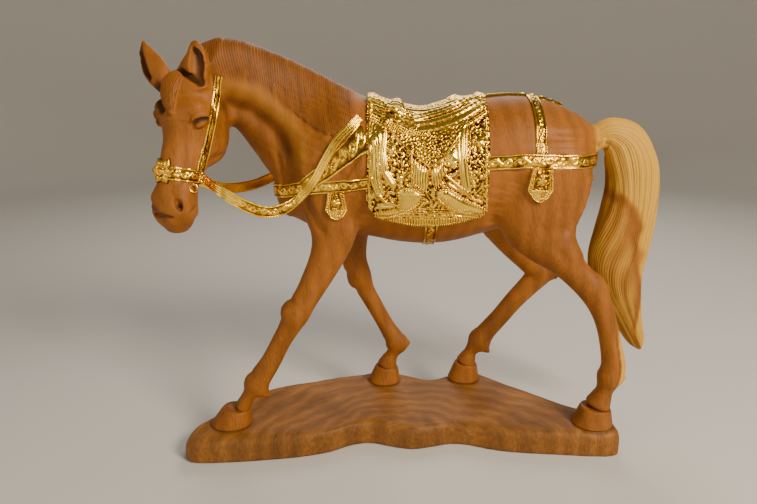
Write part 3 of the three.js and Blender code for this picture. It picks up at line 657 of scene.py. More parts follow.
def carve_legs(field):
    """Tendons, knees, fetlocks and ergots."""
    for name, rows in LEGS.items():
        table = np.array(rows)
        first = 6 if name == "far_fore" else 7
        knee, cannon, forearm = table[first], table[first + 1:first + 4], table[3:6]
        fetlock = table[-3 if name == "near_fore" else -4]
        step = unit(cannon[-1, :3] - cannon[0, :3])
        back = unit(np.array([-step[2], 0, step[0]]))
        back = back if back[0] > 0 else -back
        for side in (-1, 1):
            field.stroke([row[:3] + back * 4.2 + (0, side * row[4], 0) for row in cannon], 3.0, 1.9)
            field.stroke([knee[:3] + (0, side * knee[4], 0) + step * s for s in (-7, 7)], 4.5, -1.3)
            field.stroke([row[:3] + back * 1.5 + (0, side * row[4], 0) for row in forearm], 4.5, 1.6)
        field.ball(fetlock[:3] + back * 9 - (0, 0, 3), (6.5, 7.5, 8), blend=6)
        if "fore" in name:
            field.ball(knee[:3] - back * 6, (10.5, 12, 12.5), blend=4)
            for shift, amount in ((-15, 2.6), (13, 2.4), (0, -0.6)):
                field.stroke(joint_line(knee, step, back, shift, 10), 3.0, amount)
        for shift, amount in ((-13, 1.2), (11, 0.9)):
            field.stroke(joint_line(fetlock, step, back, shift, 7), 2.8, amount)
        for reach, size in ((14, 4.6), (18, 2.6)):
            centre = fetlock[:3] + back * reach - (0, 0, 0.36 * reach)
            field.ball(centre, (size, size, 0.8 * size), blend=4)


def carve_muscles(field):
    for near in (True, False):
        for radius, depth, line in BODY_LINES:
            field.side_stroke(line, radius, depth, near)
    field.stroke([(-150, 0, 300), (-138, 0, 276), (-128, 0, 256)], 8, 3.5)
    field.stroke([(-192, -50, 384), (-186, -46, 370), (-176, -40, 354)], 7, 4.5)
    for side in (-1, 1):
        field.ball((-126, side * 22, 282), (20, 19, 26), blend=14)
    field.stroke([(100, 0, 398), (150, 0, 394), (190, 0, 378)], 7, 1.6)
    carve_legs(field)


def hair_share(x, z):
    """The mane in side view: its top and hem at a place, its strand coordinate and its place in a lock."""
    crest, hem = np.array(CREST), np.array(MANE_HEM)
    top = np.interp(x, crest[:, 0], crest[:, 2] + 9)
    drop = np.maximum(top - z, 0)
    strand = x - 0.10 * drop - 0.0010 * drop ** 2 + 0.9 * np.sin(drop / 13 + x / 17)
    lock = (strand / 11.0 + 0.25 * np.sin(strand * 0.21)) % 1.0
    low = np.interp(x, hem[:, 0], hem[:, 1]) + 4 * np.abs(lock - 0.45) - 1
    return top, low, strand, lock


def crest_middle(x):
    crest = np.array(CREST)
    return np.interp(x, crest[:, 0], crest[:, 1])


def lay_mane(field):
    cuts, x, y, z = field.window((-240, -110, 325), (-40, 60, 466))
    top, low, _, lock = hair_share(x, z)
    soft = 7 * (1 - smooth(x, HEM_SOFT, HEM_SHARP))
    near = smooth(z, low - soft - 1.5, low + 3.0 + soft)
    far = smooth(z, top - 21 + 4 * lock, top - 12 + 4 * lock)
    span = smooth(x, MANE_START, MANE_START + 14) * (1 - smooth(x, MANE_END - 16, MANE_END))
    cover = np.where(y < crest_middle(x), near, far) * span
    field.values[cuts] -= (1.0 + 1.2 * smooth(x, -160, -110)) * cover


def head_places(points):
    """Places as t, out, left on the head."""
    local = points - CROWN
    return local @ HEAD_DOWN, local @ HEAD_OUT, local @ HEAD_LEFT


def forelock_hair(points):
    """How far a place belongs to the forelock, and where its fine strands run."""
    table = np.array(FORELOCK, float)
    t, out, left = head_places(points)
    front, middle, wide = (np.interp(t, table[:, 0], table[:, i]) for i in (1, 2, 4))
    share = (left - middle) / np.maximum(wide, 2)
    cover = smooth(1.08 - np.abs(share), 0, 0.2) * smooth(t, -12, -4) * (1 - smooth(t, 31, 36))
    return cover * smooth(out - front, -2.5, 0.5), comb(share * 5 + 0.35 * np.sin(t / 6), 1.0, 0.7)


def comb(strand, pitch, sharp=1.0):
    """Rounded ridges side by side, from 0 in the grooves to 1 on the strands."""
    return np.abs(np.sin(math.pi * strand / pitch)) ** sharp


def split_faces(points, faces, chosen):
    """Divides the chosen four-sided faces in four and closes the seams to their neighbours."""
    edges = np.sort(np.stack([faces, np.roll(faces, -1, axis=1)], -1), -1)
    flat = edges[chosen].reshape(-1, 2)
    key = flat[:, 0] * np.int64(len(points)) + flat[:, 1]
    unique, inverse = np.unique(key, return_inverse=True)
    ends = np.stack([unique // len(points), unique % len(points)], 1)
    middles = points[ends].mean(1)
    centres = points[faces[chosen]].mean(1)
    first = len(points)
    edge_number = first + inverse.reshape(-1, 4)
    centre_number = first + len(middles) + np.arange(len(centres))
    corners = faces[chosen]
    fours = np.concatenate([
        np.stack([corners[:, i], edge_number[:, i], centre_number, edge_number[:, i - 1]], 1)
        for i in range(4)])
    rest = faces[~chosen]
    rest_edges = edges[~chosen]
    rest_key = rest_edges[..., 0] * np.int64(len(points)) + rest_edges[..., 1]
    found = np.searchsorted(unique, rest_key)
    split = (found < len(unique)) & (unique[np.minimum(found, len(unique) - 1)] == rest_key)
    plain = rest[~split.any(1)]
    threes = []
    for face, numbers, cut in zip(rest[split.any(1)], found[split.any(1)], split[split.any(1)]):
        loop = []
        for i in range(4):
            loop.append(face[i])
            if cut[i]:
                loop.append(first + numbers[i])
        start = next(k for k in range(len(loop)) if loop[k] >= first)
        loop = loop[start:] + loop[:start]
        threes += [(loop[0], loop[k], loop[k + 1]) for k in range(1, len(loop) - 1)]
    points = np.concatenate([points, middles, centres])
    return points, np.concatenate([plain, fours]), np.array(threes, int).reshape(-1, 3)


def in_hair(places):
    """Which places lie in the mane or the forelock."""
    x, y, z = places.T
    top, low, _, _ = hair_share(x, z)
    mane = (x > MANE_START) & (x < MANE_END + 2) & (z > np.where(y < 6, low - 4, top - 24)) & (z > 330)
    return mane | (forelock_hair(places)[0] > 0)


def lay_strands(points, normal, off_neck, settings):
    """Moves points out to the strands of mane and forelock, and gives the painted shade between the strands.
    """
    x, y, z = points.T
    top, low, strand, lock = hair_share(x, z)
    soft = 6 * (1 - smooth(x, HEM_SOFT, HEM_SHARP))
    near, far = smooth(z, low - 1 - soft, low + 3 + soft), smooth(z, top - 20, top - 14)
    cover = np.where(y < crest_middle(x), near, far)
    cover *= smooth(x, -238, -226) * (1 - smooth(x, -62, -50)) * (1 - smooth(off_neck, 0.4, 2.0))
    hair = comb(strand + 0.5 * noise(points[:, [0, 2]], 45, 3), settings.strand_pitch, 0.7)
    depth = 0.8 * hair + 0.5 * np.sqrt(np.clip(1 - ((lock - 0.5) / 0.5) ** 2, 0, 1)) - 0.7
    points = points + normal * (cover * depth)[:, None]
    # Painted shade between the strands, with a little over the whole mane.
    dark = cover * (0.10 + (1 - hair) * 0.65)
    cover, hair = forelock_hair(points)
    points = points + normal * (cover * (1.1 * hair - 0.6))[:, None]
    return points, np.maximum(dark, cover * (1 - hair) * 0.9)


def shadow_lines():
    """The lines of painted shade: places, inner and outer reach, depth of tone."""
    lines = [([on_head(t, out - 7, left) for t, out, left, _, _ in bowl], 2.5, 7.5, 0.8) for _, bowl in EARS]
    for mirror in BOTH:
        for line, reach in ((EYE_LINE, (1.4, 4.0, 0.95)), (MOUTH_LINE, (0.8, 3.0, 0.5))):
            lines.append(([on_head(t, out, mirror * left) for t, out, left in line], *reach))
    for line, reach in (
            (EAR_SHADOW, (2.4, 5.5, 0.95)), (TEMPLE_SHADOW, (3.0, 9.0, 0.85)), (LIP_SHADOW, (1.5, 8.0, 0.6))):
        lines.append(([on_head(*place) for place in line], *reach))
    return lines + [(THROAT_LINE, 2.0, 16.0, 0.5), (THROAT_LINE[:2], 1.0, 12.0, 0.7)]


def wood_tones(points, dark):
    """Pale sapwood and a painted highlight in the first channel and painted shade in the second, as shares on
    the horse.
    """
    x, y, z = points.T
    tones = np.zeros((len(points), 3))
    t, out, left = head_places(points)
    # Painted shade round the listed places on the head.
    for mirror, centre_t, centre_out, centre_left, reach, depth in PAINTED_SHADE_PLACES:
        aside = (np.abs(left) if mirror else left) - centre_left
        gap = np.sqrt((t - centre_t) ** 2 + (out - centre_out) ** 2 + aside ** 2)
        dark = np.maximum(dark, depth * (1 - smooth(gap, 0.4 * reach, reach)))
    for line, inner, outer, depth in shadow_lines():
        gap, _ = path_gap(points, np.array(line, float))
        dark = np.maximum(dark, depth * (1 - smooth(gap, inner, outer)))
    # Pale sapwood behind the near hind cannon, edged by a line of painted shade; a pale dock; and a painted
    # highlight on the near side of the neck's ridge.
    behind = x - np.interp(z, [50, 78, 105, 140], [258, 262.5, 257, 252])
    cannon = smooth(z, 42, 52) * (1 - smooth(z, 106, 135))
    tones[:, 1] = np.maximum(dark, 0.5 * cannon * np.exp(-(behind / 1.3) ** 2))
    pale = np.maximum(0.8 * cannon * smooth(behind, 0, 2), 0.8 * smooth(x, 216, 236) * smooth(z, 325, 335))
    gap, _ = path_gap(points[:, [0, 2]], np.array(LIT_NECK_RIDGE, float))
    tones[:, 0] = np.maximum(pale, 0.13 * (1 - smooth(gap, 2, 13)) * (y < -8))
    return tones


def build_horse(settings):
    field = Field(steps(2.6, 3.6), steps(1.4, 2.0))
    field.limb(TRUNK, steps=4, cap=4, broad=True)
    field.limb(NECK, steps=4, blend=18, cap=6, broad=True)
    for name, rows in LEGS.items():
        field.limb(rows, steps=3, blend=14 if "hind" in name else 10, cap=5, broad="bent")
    for rows in HOCKS:
        field.limb(rows, blend=7, cap=4)
    field.limb(CREST, blend=12, cap=5)
    field.limb([(205, 0, 345, 15, 12), (222, 0, 346, 13, 10), (236, 0, 347, 13, 10)], blend=16, cap=5)
    carve_muscles(field)
    lay_mane(field)
    before_head = field.values.copy()
    carve_head(field)
    points, faces = field.surface()
    points = relax(points, faces, 2, 0.35)
    for _ in range(2):
        value, slope = field.sample(points)
        steep = np.maximum((slope ** 2).sum(1), 0.2)[:, None]
        points -= np.clip(value, -1.5, 1.5)[:, None] * slope / steep
    points = relax(points, faces, 1, 0.2)
    points, faces, threes = split_faces(points, faces, in_hair(points[faces].mean(1)))
    value, slope = field.sample(points)
    normal = unit(slope)
    points -= np.clip(value, -1, 1)[:, None] * normal * 0.8
    points, dark = lay_strands(points, normal, field.sample(points, before_head)[0], settings)
    order = np.concatenate([faces[:, [0, 1, 2]], faces[:, [0, 2, 3]], threes])
    piece = new_mesh("horse_wood", points, order, wood_tones(points, dark))
    thin_out(piece, 196000)
    finish_piece(piece, carved_wood(settings), "carved_wood", "horse")
    build_hooves(settings)
    build_tail(settings)


def build_hooves(settings):
    """The hooves, each with a coronet edge that falls towards the heel and faint growth lines on its wall."""
    sheets = []
    turn = np.linspace(0, 2 * math.pi, 72, endpoint=False)
    wall = np.linspace(0.04, 0.93, 15)
    rise = np.concatenate([[0, 0.0], wall, [0.985, 1.0, 1.02, 1.03]])[:, None]
    inset = np.concatenate([[1.2, 0.3], 0.22 * np.cos(wall * 34), [0.4, 1.3, 3.4, 6.5]])[:, None]
    for x0, y0, r0, x1, y1, r1, sole, height in HOOVES:
        radius = r1 + rise * (r0 - r1) - inset
        x = x1 + rise * (x0 - x1) + radius * np.cos(turn)
        y = y1 + rise * (y0 - y1) + 0.9 * radius * np.sin(turn)
        z = sole + rise * (height + 1.5) - 0.11 * rise * radius * np.cos(turn)
        rings = spread(x, y, z)
        points, order = closed_tube(rings, rings[0].mean(0), rings[-1].mean(0))
        tones = np.zeros((len(points), 3))
        # A ring of painted shade where the top of the hoof meets the pastern.
        tones[:rings[..., 0].size, 1] = np.repeat(0.45 * np.exp(-((rise - 1.015) / 0.015) ** 2), 72)
        sheets.append((points, order, tones))
    piece = new_mesh("horse_hooves", *merge_sheets(sheets))
    finish_piece(piece, carved_wood(settings), "carved_wood")


# The tail's pale sapwood begins this share of its half depth behind the middle, by height.
SAP_EDGE = [
    (60, 0.0), (100, 0.2), (130, 0.9), (190, 0.72), (240, 0.40), (262, 0.0), (290, -0.9), (340, -1.6),
]


def build_tail(settings):
    around = steps(270, 150)
    rows = curve_through(TAIL, steps(11, 8))
    along = unit(np.gradient(rows[:, :3], axis=0))
    across = unit(LEFT - along * (along @ LEFT)[:, None])
    up = np.cross(along, across)
    length = run_length(rows[:, :3])
    turn = np.linspace(0, 2 * math.pi, around, endpoint=False)
    down, ring = np.meshgrid(length, turn, indexing="ij")
    twist = ring + 0.22 * np.sin(down / 62) + 0.10 * np.sin(down / 23 + 2 * ring) + 0.0013 * down
    strands = settings.tail_strands
    hair = np.abs(np.sin(0.5 * strands * twist + 0.5 * np.sin(down / 31 + 5 * ring))) ** 0.7
    locks = 0.5 + 0.5 * np.sin(9 * twist + 1.1 * np.sin(down / 48)) * np.cos(4 * ring - down / 90)
    fullness = smooth(down, 3, 30)
    swell = fullness * (0.9 * (hair - 0.6) + 1.6 * (locks - 0.55)) * np.minimum(1, rows[:, 3:4] / 14)
    notch = np.exp(-(np.angle(np.exp(1j * (ring - 1.35))) / 0.22) ** 2)
    swell -= 3.4 * (notch * smooth(down, 245, 300) * (1 - smooth(down, 318, 330)))
    points = (rows[:, None, :3]
              + across[:, None] * ((rows[:, 4:5] + swell) * np.cos(ring))[..., None]
              + up[:, None] * ((rows[:, 3:4] + swell) * np.sin(ring))[..., None])
    count = len(rows) * around
    flat, order = closed_tube(points, rows[0, :3], rows[-1, :3] + along[-1] * 2)
    centre_x = np.interp(flat[:, 2], rows[::-1, 2], rows[::-1, 0])
    half = np.interp(flat[:, 2], rows[::-1, 2], rows[::-1, 3])
    edge = (flat[:, 0] - centre_x) / np.maximum(half, 4) + 0.25 * noise(flat[:, [0, 2]], 60, 8)
    limit = np.interp(flat[:, 2], *zip(*SAP_EDGE))
    streak, vein = np.zeros(len(flat)), np.zeros(len(flat))
    streak[:count] = (0.5 + 0.5 * np.sin(13 * twist + 2.1 * np.sin(down / 52 + 3 * ring))).ravel() ** 1.5
    vein[:count] = ((0.5 + 0.5 * np.sin(31 * twist + 1.5 * np.sin(down / 44 + 2 * ring))) ** 4).ravel()
    below = np.clip(0.24 + 0.30 * streak + 0.15 * noise(flat, 70, 21), 0.0, 0.6)
    below = below * (1 - np.exp(-((edge - limit + 0.20) / 0.20) ** 2))
    above = 1 - vein * (0.35 + 0.35 * smooth(0.3 - edge, 0, 0.8))
    tones = np.zeros((len(flat), 3))
    tones[:, 0] = np.clip(below + (above - below) * smooth(edge, limit - 0.10, limit + 0.16), 0, 1)
    # Painted shade between the strands, and painted shadow in wedges between the locks.
    wedge = 2 * math.pi / 9
    shadow = 0.75 * (1 - smooth(twist % wedge / wedge, 0.0, 0.10))
    shadow = shadow * (0.4 + 0.6 * np.cos(ring - down / 70) ** 2)
    tones[:count, 1] = np.maximum(fullness * (1 - hair) * 0.38, 0.8 * fullness * shadow).ravel()
    piece = new_mesh("horse_tail", flat, order, tones)
    finish_piece(piece, carved_wood(settings), "carved_wood")


# The slab.

SLAB = [
    (-264, -74, -60, 0.4), (-261, -86, -54, 0.62), (-252, -94, -48, 0.86), (-236, -96, -34, 0.97),
    (-215, -95, -14, 1),
    (-190, -93, 16, 1), (-165, -90, 33, 1), (-125, -84, 48, 1), (-90, -74, 60, 1), (-60, -58, 68, 1),
    (-35, -54, 76, 1),
    (-10, -62, 76, 1), (15, -67, 70, 0.97), (40, -62, 60, 0.95), (62, -56, 63, 0.96), (85, -58, 77, 1),
    (108, -66, 77, 1), (130, -72, 60, 1), (160, -76, 34, 1), (195, -79, 8, 1), (230, -82, -14, 1),
    (254, -82, -24, 1),
    (265, -78, -32, 0.9), (268, -68, -42, 0.7),
]


# The slab's growth arcs: their middle, and how much longer they are than wide.
GROWTH_CENTRE = (25, -112)
GROWTH_STRETCH = 1.35


def top_at(y):
    """The slab's top, which rises a little towards the far side."""
    return SOLE + 5 * smooth(y, -20, 28)


def slab_ring(x, near, far, share, rim, across):
    """One cross-section of the slab, from its near foot over the top to its far foot."""
    bend = 0.5 * math.pi * np.linspace(0, 1, 13)
    profile_y = np.concatenate([[0.5, 0.15, 0, 0, 0, 0], 1 - np.cos(bend)])
    profile_z = np.concatenate([[0, 0.12, 0.5, 1, 2, 3], 4 + np.sin(bend)])
    crown = near + rim + across * (far - near - 2 * rim)
    sides = []
    for edge, inward in ((near, 1), (far, -1)):
        y = edge + inward * profile_y * rim
        wall = share * top_at(edge) - rim
        upright = rim * 0.5 + (profile_z - 1) / 3 * (wall - rim * 0.5)
        z = np.where(profile_z <= 4, upright, wall + (profile_z - 4) * rim)
        z = np.where(profile_z <= 1, profile_z * rim * 0.5, z)
        z = np.where(profile_z > 4, z + (share * top_at(y) - share * top_at(edge)), z)
        sides.append(spread(x, y, z))
    return np.concatenate([sides[0], spread(x, crown, share * top_at(crown))[1:-1], sides[1][::-1]])


def growth_arcs(flat):
    """Distance from the middle of the growth rings on the slab."""
    stretched = (flat[..., 0] - GROWTH_CENTRE[0]) / GROWTH_STRETCH
    return np.hypot(stretched, flat[..., 1] - GROWTH_CENTRE[1]) + 7 * noise(flat, 210, 31)


def build_base(settings):
    rows = curve_through(SLAB, steps(10, 6))
    _, near, far, _ = rows.T
    rim = np.minimum(11.0, (far - near) * 0.3)
    across = np.linspace(0, 1, steps(84, 80))
    points = np.array([slab_ring(*row, width, across) for row, width in zip(rows, rim)])
    height = points[..., 2]
    upper = smooth(height, 14, 26)
    flat = points[..., :2]
    hollow = 0.9 * (noise(flat, 120, 4) - 1) + 0.45 * noise(flat, 46, 6)
    clear = np.ones(height.shape)
    for _, _, _, sole_x, sole_y, radius, _, _ in HOOVES:
        gap = np.hypot(flat[..., 0] - sole_x, (flat[..., 1] - sole_y) / 0.9)
        clear = np.minimum(clear, smooth(gap, radius + 1.5, radius + 12))
        points[..., 2] -= 0.9 * np.exp(-((gap - radius - 1.6) / 1.3) ** 2) * upper
    points[..., 2] += hollow * clear * smooth(height, 28, 33)
    points[..., 2] -= 0.07 * (1 - comb(growth_arcs(flat), 9.0, 0.6)) * upper
    lower = 1 - smooth(height, 27, 31)
    wobble = 0.35 * noise(points[..., [0, 2]], 40, 12) * lower * smooth(height, 3, 8)
    inward = np.where(flat[..., 1] < (near + far)[:, None] / 2, 1, -1)
    points[..., 1] += wobble * inward + 0.35 * inward * (1 - smooth(height, 27, 31))
    count = points.shape[0] * points.shape[1]
    places, order = closed_tube(points - (0, 0, SOLE), *(points[[0, -1]].mean(1) - (0, 0, SOLE)))
    tones = np.zeros((len(places), 3))
    # A ring of painted shade round the sole of each hoof.
    for _, _, _, sole_x, sole_y, radius, _, _ in HOOVES:
        gap = np.hypot(places[:count, 0] - sole_x, (places[:count, 1] - sole_y) / 0.9)
        tones[:count, 1] = np.maximum(tones[:count, 1], 0.6 * np.exp(-((gap - radius) / 1.6) ** 2))
    piece = new_mesh("base_slab", places, order, tones)
    arc = growth_arcs(places[:, :2]) + 2.2 * noise(places[:, :2], 90, 32)
    stretched_x = (places[:, 0] - GROWTH_CENTRE[0]) / GROWTH_STRETCH
    run = 150 * np.arctan2(places[:, 1] - GROWTH_CENTRE[1], stretched_x)
    grain = piece.data.attributes.new("grain", "FLOAT_VECTOR", "POINT")
    way = spread(arc, 0.25 * places[:, 2], 1.6 * run) * 0.001
    grain.data.foreach_set("vector", way.astype(np.float32).ravel())
    finish_piece(piece, slab_wood(settings), "slab_wood", "base")


# The gilt harness.

GOLD_GAP = 0.35


def wood_surface():
    mesh = bpy.data.objects["horse_wood"].data
    points = np.empty(len(mesh.vertices) * 3)
    mesh.vertices.foreach_get("co", points)
    faces = np.empty(len(mesh.loops), int)
    mesh.loops.foreach_get("vertex_index", faces)
    places = points.reshape(-1, 3) * 1000 - (0, 0, SOLE)
    return BVHTree.FromPolygons(places.tolist(), faces.reshape(-1, 3).tolist())


def cast(surface, origins, towards):
    """Where rays from outside meet the wood, or come nearest to it, with the outward normals there."""
    shape = origins.shape
    origins, towards = origins.reshape(-1, 3), unit(np.broadcast_to(towards, shape).reshape(-1, 3))
    places, normals = np.empty_like(origins), np.empty_like(origins)
    for i, (origin, way) in enumerate(zip(origins.tolist(), towards.tolist())):
        hit, normal, _, _ = surface.ray_cast(Vector(origin), Vector(way), 400)
        if hit is None:
            hit, normal, _, _ = surface.find_nearest(Vector(origin))
        places[i] = hit
        normals[i] = normal
    return places.reshape(shape), normals.reshape(shape)


def even_out(grid, rounds):
    """Smooths a grid of points or normals, keeping its border's place along the border."""
    for _ in range(rounds):
        padded = np.pad(grid, ((1, 1), (1, 1), (0, 0)), "edge")
        around = padded[:-2, 1:-1] + padded[2:, 1:-1] + padded[1:-1, :-2] + padded[1:-1, 2:]
        grid = 0.5 * grid + 0.125 * around
    return grid


def gilt_sheet(places, normals, height, shade, under=GOLD_GAP):
    """A closed sheet of relief over a grid of places on the wood, with its painted shade and highlight as the
    tone's first channel.
    """
    top = places + normals * (under + height)[..., None]
    points, faces = relief_sheet(top, places + normals * under)
    tones = np.zeros((len(points), 3))
    tones[:height.size, 0] = np.clip(shade, 0, 1).ravel()
    # The underside gets a darker tone of painted shade.
    tones[height.size:, 0] = 0.4
    return points, faces, tones


def laid(surface, origins, towards, flatten=0, level=6):
    """Places on the wood where rays meet it, evened out, with the evened normals there."""
    places, normals = cast(surface, origins, towards)
    return even_out(places, flatten), unit(even_out(normals, level))


def gilt_piece(name, sheets, settings, *nodes, limit=200000):
    """A gilt piece made of relief sheets, thinned to a number of triangles."""
    piece = new_mesh(name, *(merge_sheets(sheets) if len(sheets) > 1 else sheets[0]))
    thin_out(piece, limit)
    return finish_piece(piece, gilt_brass(settings), "gilt_brass", *nodes)


def scrolls(u, v, pitch, width):
    """Leafy scrollwork along a band: spirals that turn over from one side to the other."""
    cell = np.floor(u / pitch)
    side = np.where(cell % 2 == 0, 1.0, -1.0)
    x = u - (cell + 0.5) * pitch
    y = v - side * width * 0.10
    radius = np.hypot(x, y) + 1e-6
    angle = np.arctan2(y * side, x)
    spiral = 0.5 + 0.5 * np.cos(angle - radius * (9.5 / width) * 1.6)
    leaf = 0.5 + 0.5 * np.cos(6 * angle + 2.2 * radius)
    stem = np.exp(-((v - side * width * 0.30 * np.cos(math.pi * x / pitch)) / (0.10 * width)) ** 2)
    eye = np.exp(-(radius / (0.10 * width)) ** 2)
    body = np.clip(1.2 - radius / (0.52 * np.maximum(pitch, width)), 0, 1)
    curl = body * (0.68 * spiral ** 1.5 + 0.32 * leaf * spiral)
    return np.clip(np.maximum(curl, np.maximum(0.75 * stem, eye)), 0, 1)


def filigree(u, v, pitch):
    """All-over scrollwork of small leaves and curls."""
    a = u + 1.7 * np.sin(v / pitch * 1.9) + 0.9 * np.sin(v / pitch * 4.1 + 1.0)
    b = v + 1.7 * np.sin(u / pitch * 1.7 + 0.8) + 0.9 * np.sin(u / pitch * 3.9)
    i, j = np.floor(a / pitch), np.floor(b / pitch)
    x, y = a - (i + 0.5) * pitch, b - (j + 0.5) * pitch
    radius = np.hypot(x, y) + 1e-6
    spin = np.where((i + j) % 2 == 0, 1.0, -1.0)
    angle = np.arctan2(y, x) * spin + (i * 1.3 + j * 2.1)
    curl = 0.5 + 0.5 * np.cos(angle * 2 - radius / pitch * 9)
    knob = np.exp(-(radius / (0.16 * pitch)) ** 2)
    return np.clip(np.maximum(curl ** 1.3 * np.clip(1.25 - radius / (0.62 * pitch), 0, 1), knob), 0, 1)


def band_relief(u, v, half, pitch, thickness):
    """Relief across a strap: raised beaded rims with scrolls between them."""
    u, v = np.broadcast_arrays(u, v)
    edge = half - np.abs(v)
    crown = thickness * (0.42 + 0.58 * smooth(edge, -0.1, 0.9))
    rim = np.exp(-((edge - 0.9) / 0.75) ** 2) * (0.75 + 0.25 * comb(u, 2.6, 0.8))
    groove = np.exp(-((edge - 2.3) / 0.55) ** 2)
    field = smooth(edge, 2.4, 3.4)
    scroll = scrolls(u, v, pitch, 2 * half - 4)
    relief = 0.85 * rim - 0.35 * groove + field * (1.25 * scroll - 0.45)
    # Painted highlight on the rims and scrolls, and painted shade in the groove and between the scrolls.
    shade = np.clip(np.maximum(rim, field * scroll) * 0.75 + 0.25, 0, 1) * (1 - 0.7 * groove)
    return crown - 0.5 + relief, shade


def line_gap(u, v, line):
    """Distance to a line in the plane, and how far along it the nearest place is."""
    best, along, run = None, None, 0.0
    for a, b in zip(np.asarray(line, float)[:-1], np.asarray(line, float)[1:]):
        step = b - a
        length = math.hypot(*step)
        share = np.clip(((u - a[0]) * step[0] + (v - a[1]) * step[1]) / length ** 2, 0, 1)
        gap = np.hypot(u - a[0] - share * step[0], v - a[1] - share * step[1])
        if best is None:
            best, along = gap, run + share * length
        else:
            along = np.where(gap < best, run + share * length, along)
            best = np.minimum(best, gap)
        run += length
    return best, along


def inside_by(u, v, outline):
    """Signed distance to a closed outline, above zero inside."""
    outline = np.asarray(outline, float)
    gap, _ = line_gap(u, v, np.concatenate([outline, outline[:1]]))
    inside = np.zeros(np.shape(u), bool)
    for a, b in zip(outline, np.roll(outline, -1, axis=0)):
        crosses = (a[1] > v) != (b[1] > v)
        inside ^= crosses & (u < (b[0] - a[0]) * (v - a[1]) / (b[1] - a[1] + 1e-12) + a[0])
    return np.where(inside, gap, -gap)


def row_tree(kind):
    """Geometry nodes that set a bead or a thread of fringe at even steps along paths."""
    name = kind + " Row"
    if name in bpy.data.node_groups:
        return bpy.data.node_groups[name]
    tree = bpy.data.node_groups.new(name, "GeometryNodeTree")
    for label, socket in (
            ("Geometry", "Geometry"), ("Spacing", "Float"), ("Width", "Float"), ("Length", "Float"),
            ("Unevenness", "Float"), ("Seed", "Int"), ("Material", "Material")):
        tree.interface.new_socket(label, in_out="INPUT", socket_type="NodeSocket" + socket)
    tree.interface.new_socket("Geometry", in_out="OUTPUT", socket_type="NodeSocketGeometry")
    given = tree.nodes.new("NodeGroupInput").outputs
    curve = put(tree, "GeometryNodeMeshToCurve", [(given["Geometry"], 0)])
    spaced = put(tree, "GeometryNodeResampleCurve", [(curve.outputs[0], 0), (given["Spacing"], "Length")],
                 mode="LENGTH")
    if kind == "Bead":
        shape = put(tree, "GeometryNodeMeshUVSphere", [(given["Width"], "Radius")], Segments=8, Rings=5)
    else:
        tip = math_node(tree, "MULTIPLY", given["Width"], 0.45)
        shape = put(tree, "GeometryNodeMeshCone", [
            (given["Width"], "Radius Bottom"), (tip, "Radius Top"), (given["Length"], "Depth")], Vertices=7)
    toned = put(tree, "GeometryNodeStoreNamedAttribute", [(shape.outputs[0], 0)],
                data_type="FLOAT_COLOR", domain="POINT", Name="tone")
    toned.inputs["Value"].default_value = (0.8, 0, 0, 1)
    rounded = put(tree, "GeometryNodeSetShadeSmooth", [(toned.outputs[0], 0)])
    way = put(tree, "GeometryNodeInputNamedAttribute", data_type="FLOAT_VECTOR", Name="way")
    turn = put(tree, "FunctionNodeAlignRotationToVector", [(way.outputs[0], "Vector")], axis="Z")
    least = math_node(tree, "SUBTRACT", 1.0, given["Unevenness"])
    size = put(tree, "FunctionNodeRandomValue", [(least, 2), (given["Seed"], "Seed")], data_type="FLOAT")
    placed = put(tree, "GeometryNodeInstanceOnPoints", [
        (spaced.outputs[0], 0), (rounded.outputs[0], "Instance"), (turn.outputs[0], "Rotation"),
        (size.outputs[1], "Scale")])
    real = put(tree, "GeometryNodeRealizeInstances", [(placed.outputs[0], 0)])
    done = put(tree, "GeometryNodeSetMaterial", [(real.outputs[0], 0), (given["Material"], "Material")])
    tree.links.new(done.outputs[0], tree.nodes.new("NodeGroupOutput").inputs[0])
    return tree


def gilt_row(name, kind, paths, spacing, width, length, settings):
    """Beads or threads along paths, each given as its places and the way that a thread points at each."""
    places = np.concatenate([path for path, way in paths]) + (0, 0, SOLE)
    ways = np.concatenate([way for path, way in paths])
    starts = np.cumsum([0] + [len(path) for path, way in paths])
    edges = [(i, i + 1) for a, b in zip(starts[:-1], starts[1:]) for i in range(a, b - 1)]
    mesh = bpy.data.meshes.new(name)
    mesh.from_pydata((places * 0.001).tolist(), edges, [])
    layer = mesh.attributes.new("way", "FLOAT_VECTOR", "POINT")
    layer.data.foreach_set("vector", ways.astype(np.float32).ravel())
    piece = bpy.data.objects.new(name, mesh)
    bpy.context.scene.collection.objects.link(piece)
    tree = row_tree(kind)
    modifier = piece.modifiers.new("row", "NODES")
    modifier.node_group = tree
    values = {
        "Spacing": spacing * 0.001, "Width": width * 0.001, "Length": length * 0.001,
        "Unevenness": 0.12, "Seed": 7, "Material": gilt_brass(settings)}
    for socket in tree.interface.items_tree:
        if socket.in_out == "INPUT" and socket.name in values:
            modifier[socket.identifier] = values[socket.name]
    apply_modifiers(piece)
    return finish_piece(piece, gilt_brass(settings), "gilt_brass")


def trace(line, view, top, normals, lean=0.25):
    """A line drawn in the reference view, on top of the relief, with the way out to its left."""
    u, v = (axis.ravel() for axis in view)
    index = [np.argmin((u - a) ** 2 + (v - b) ** 2) for a, b in curve_through(line, 5)]
    path = even_line(top.reshape(-1, 3)[index], 3)
    normal = unit(even_line(normals.reshape(-1, 3)[index], 3))
    return path, unit(unit(np.cross(unit(np.gradient(path, axis=0)), normal)) + lean * normal)


CLOTH_FRONT, CLOTH_REAR = -41.0, 93.0
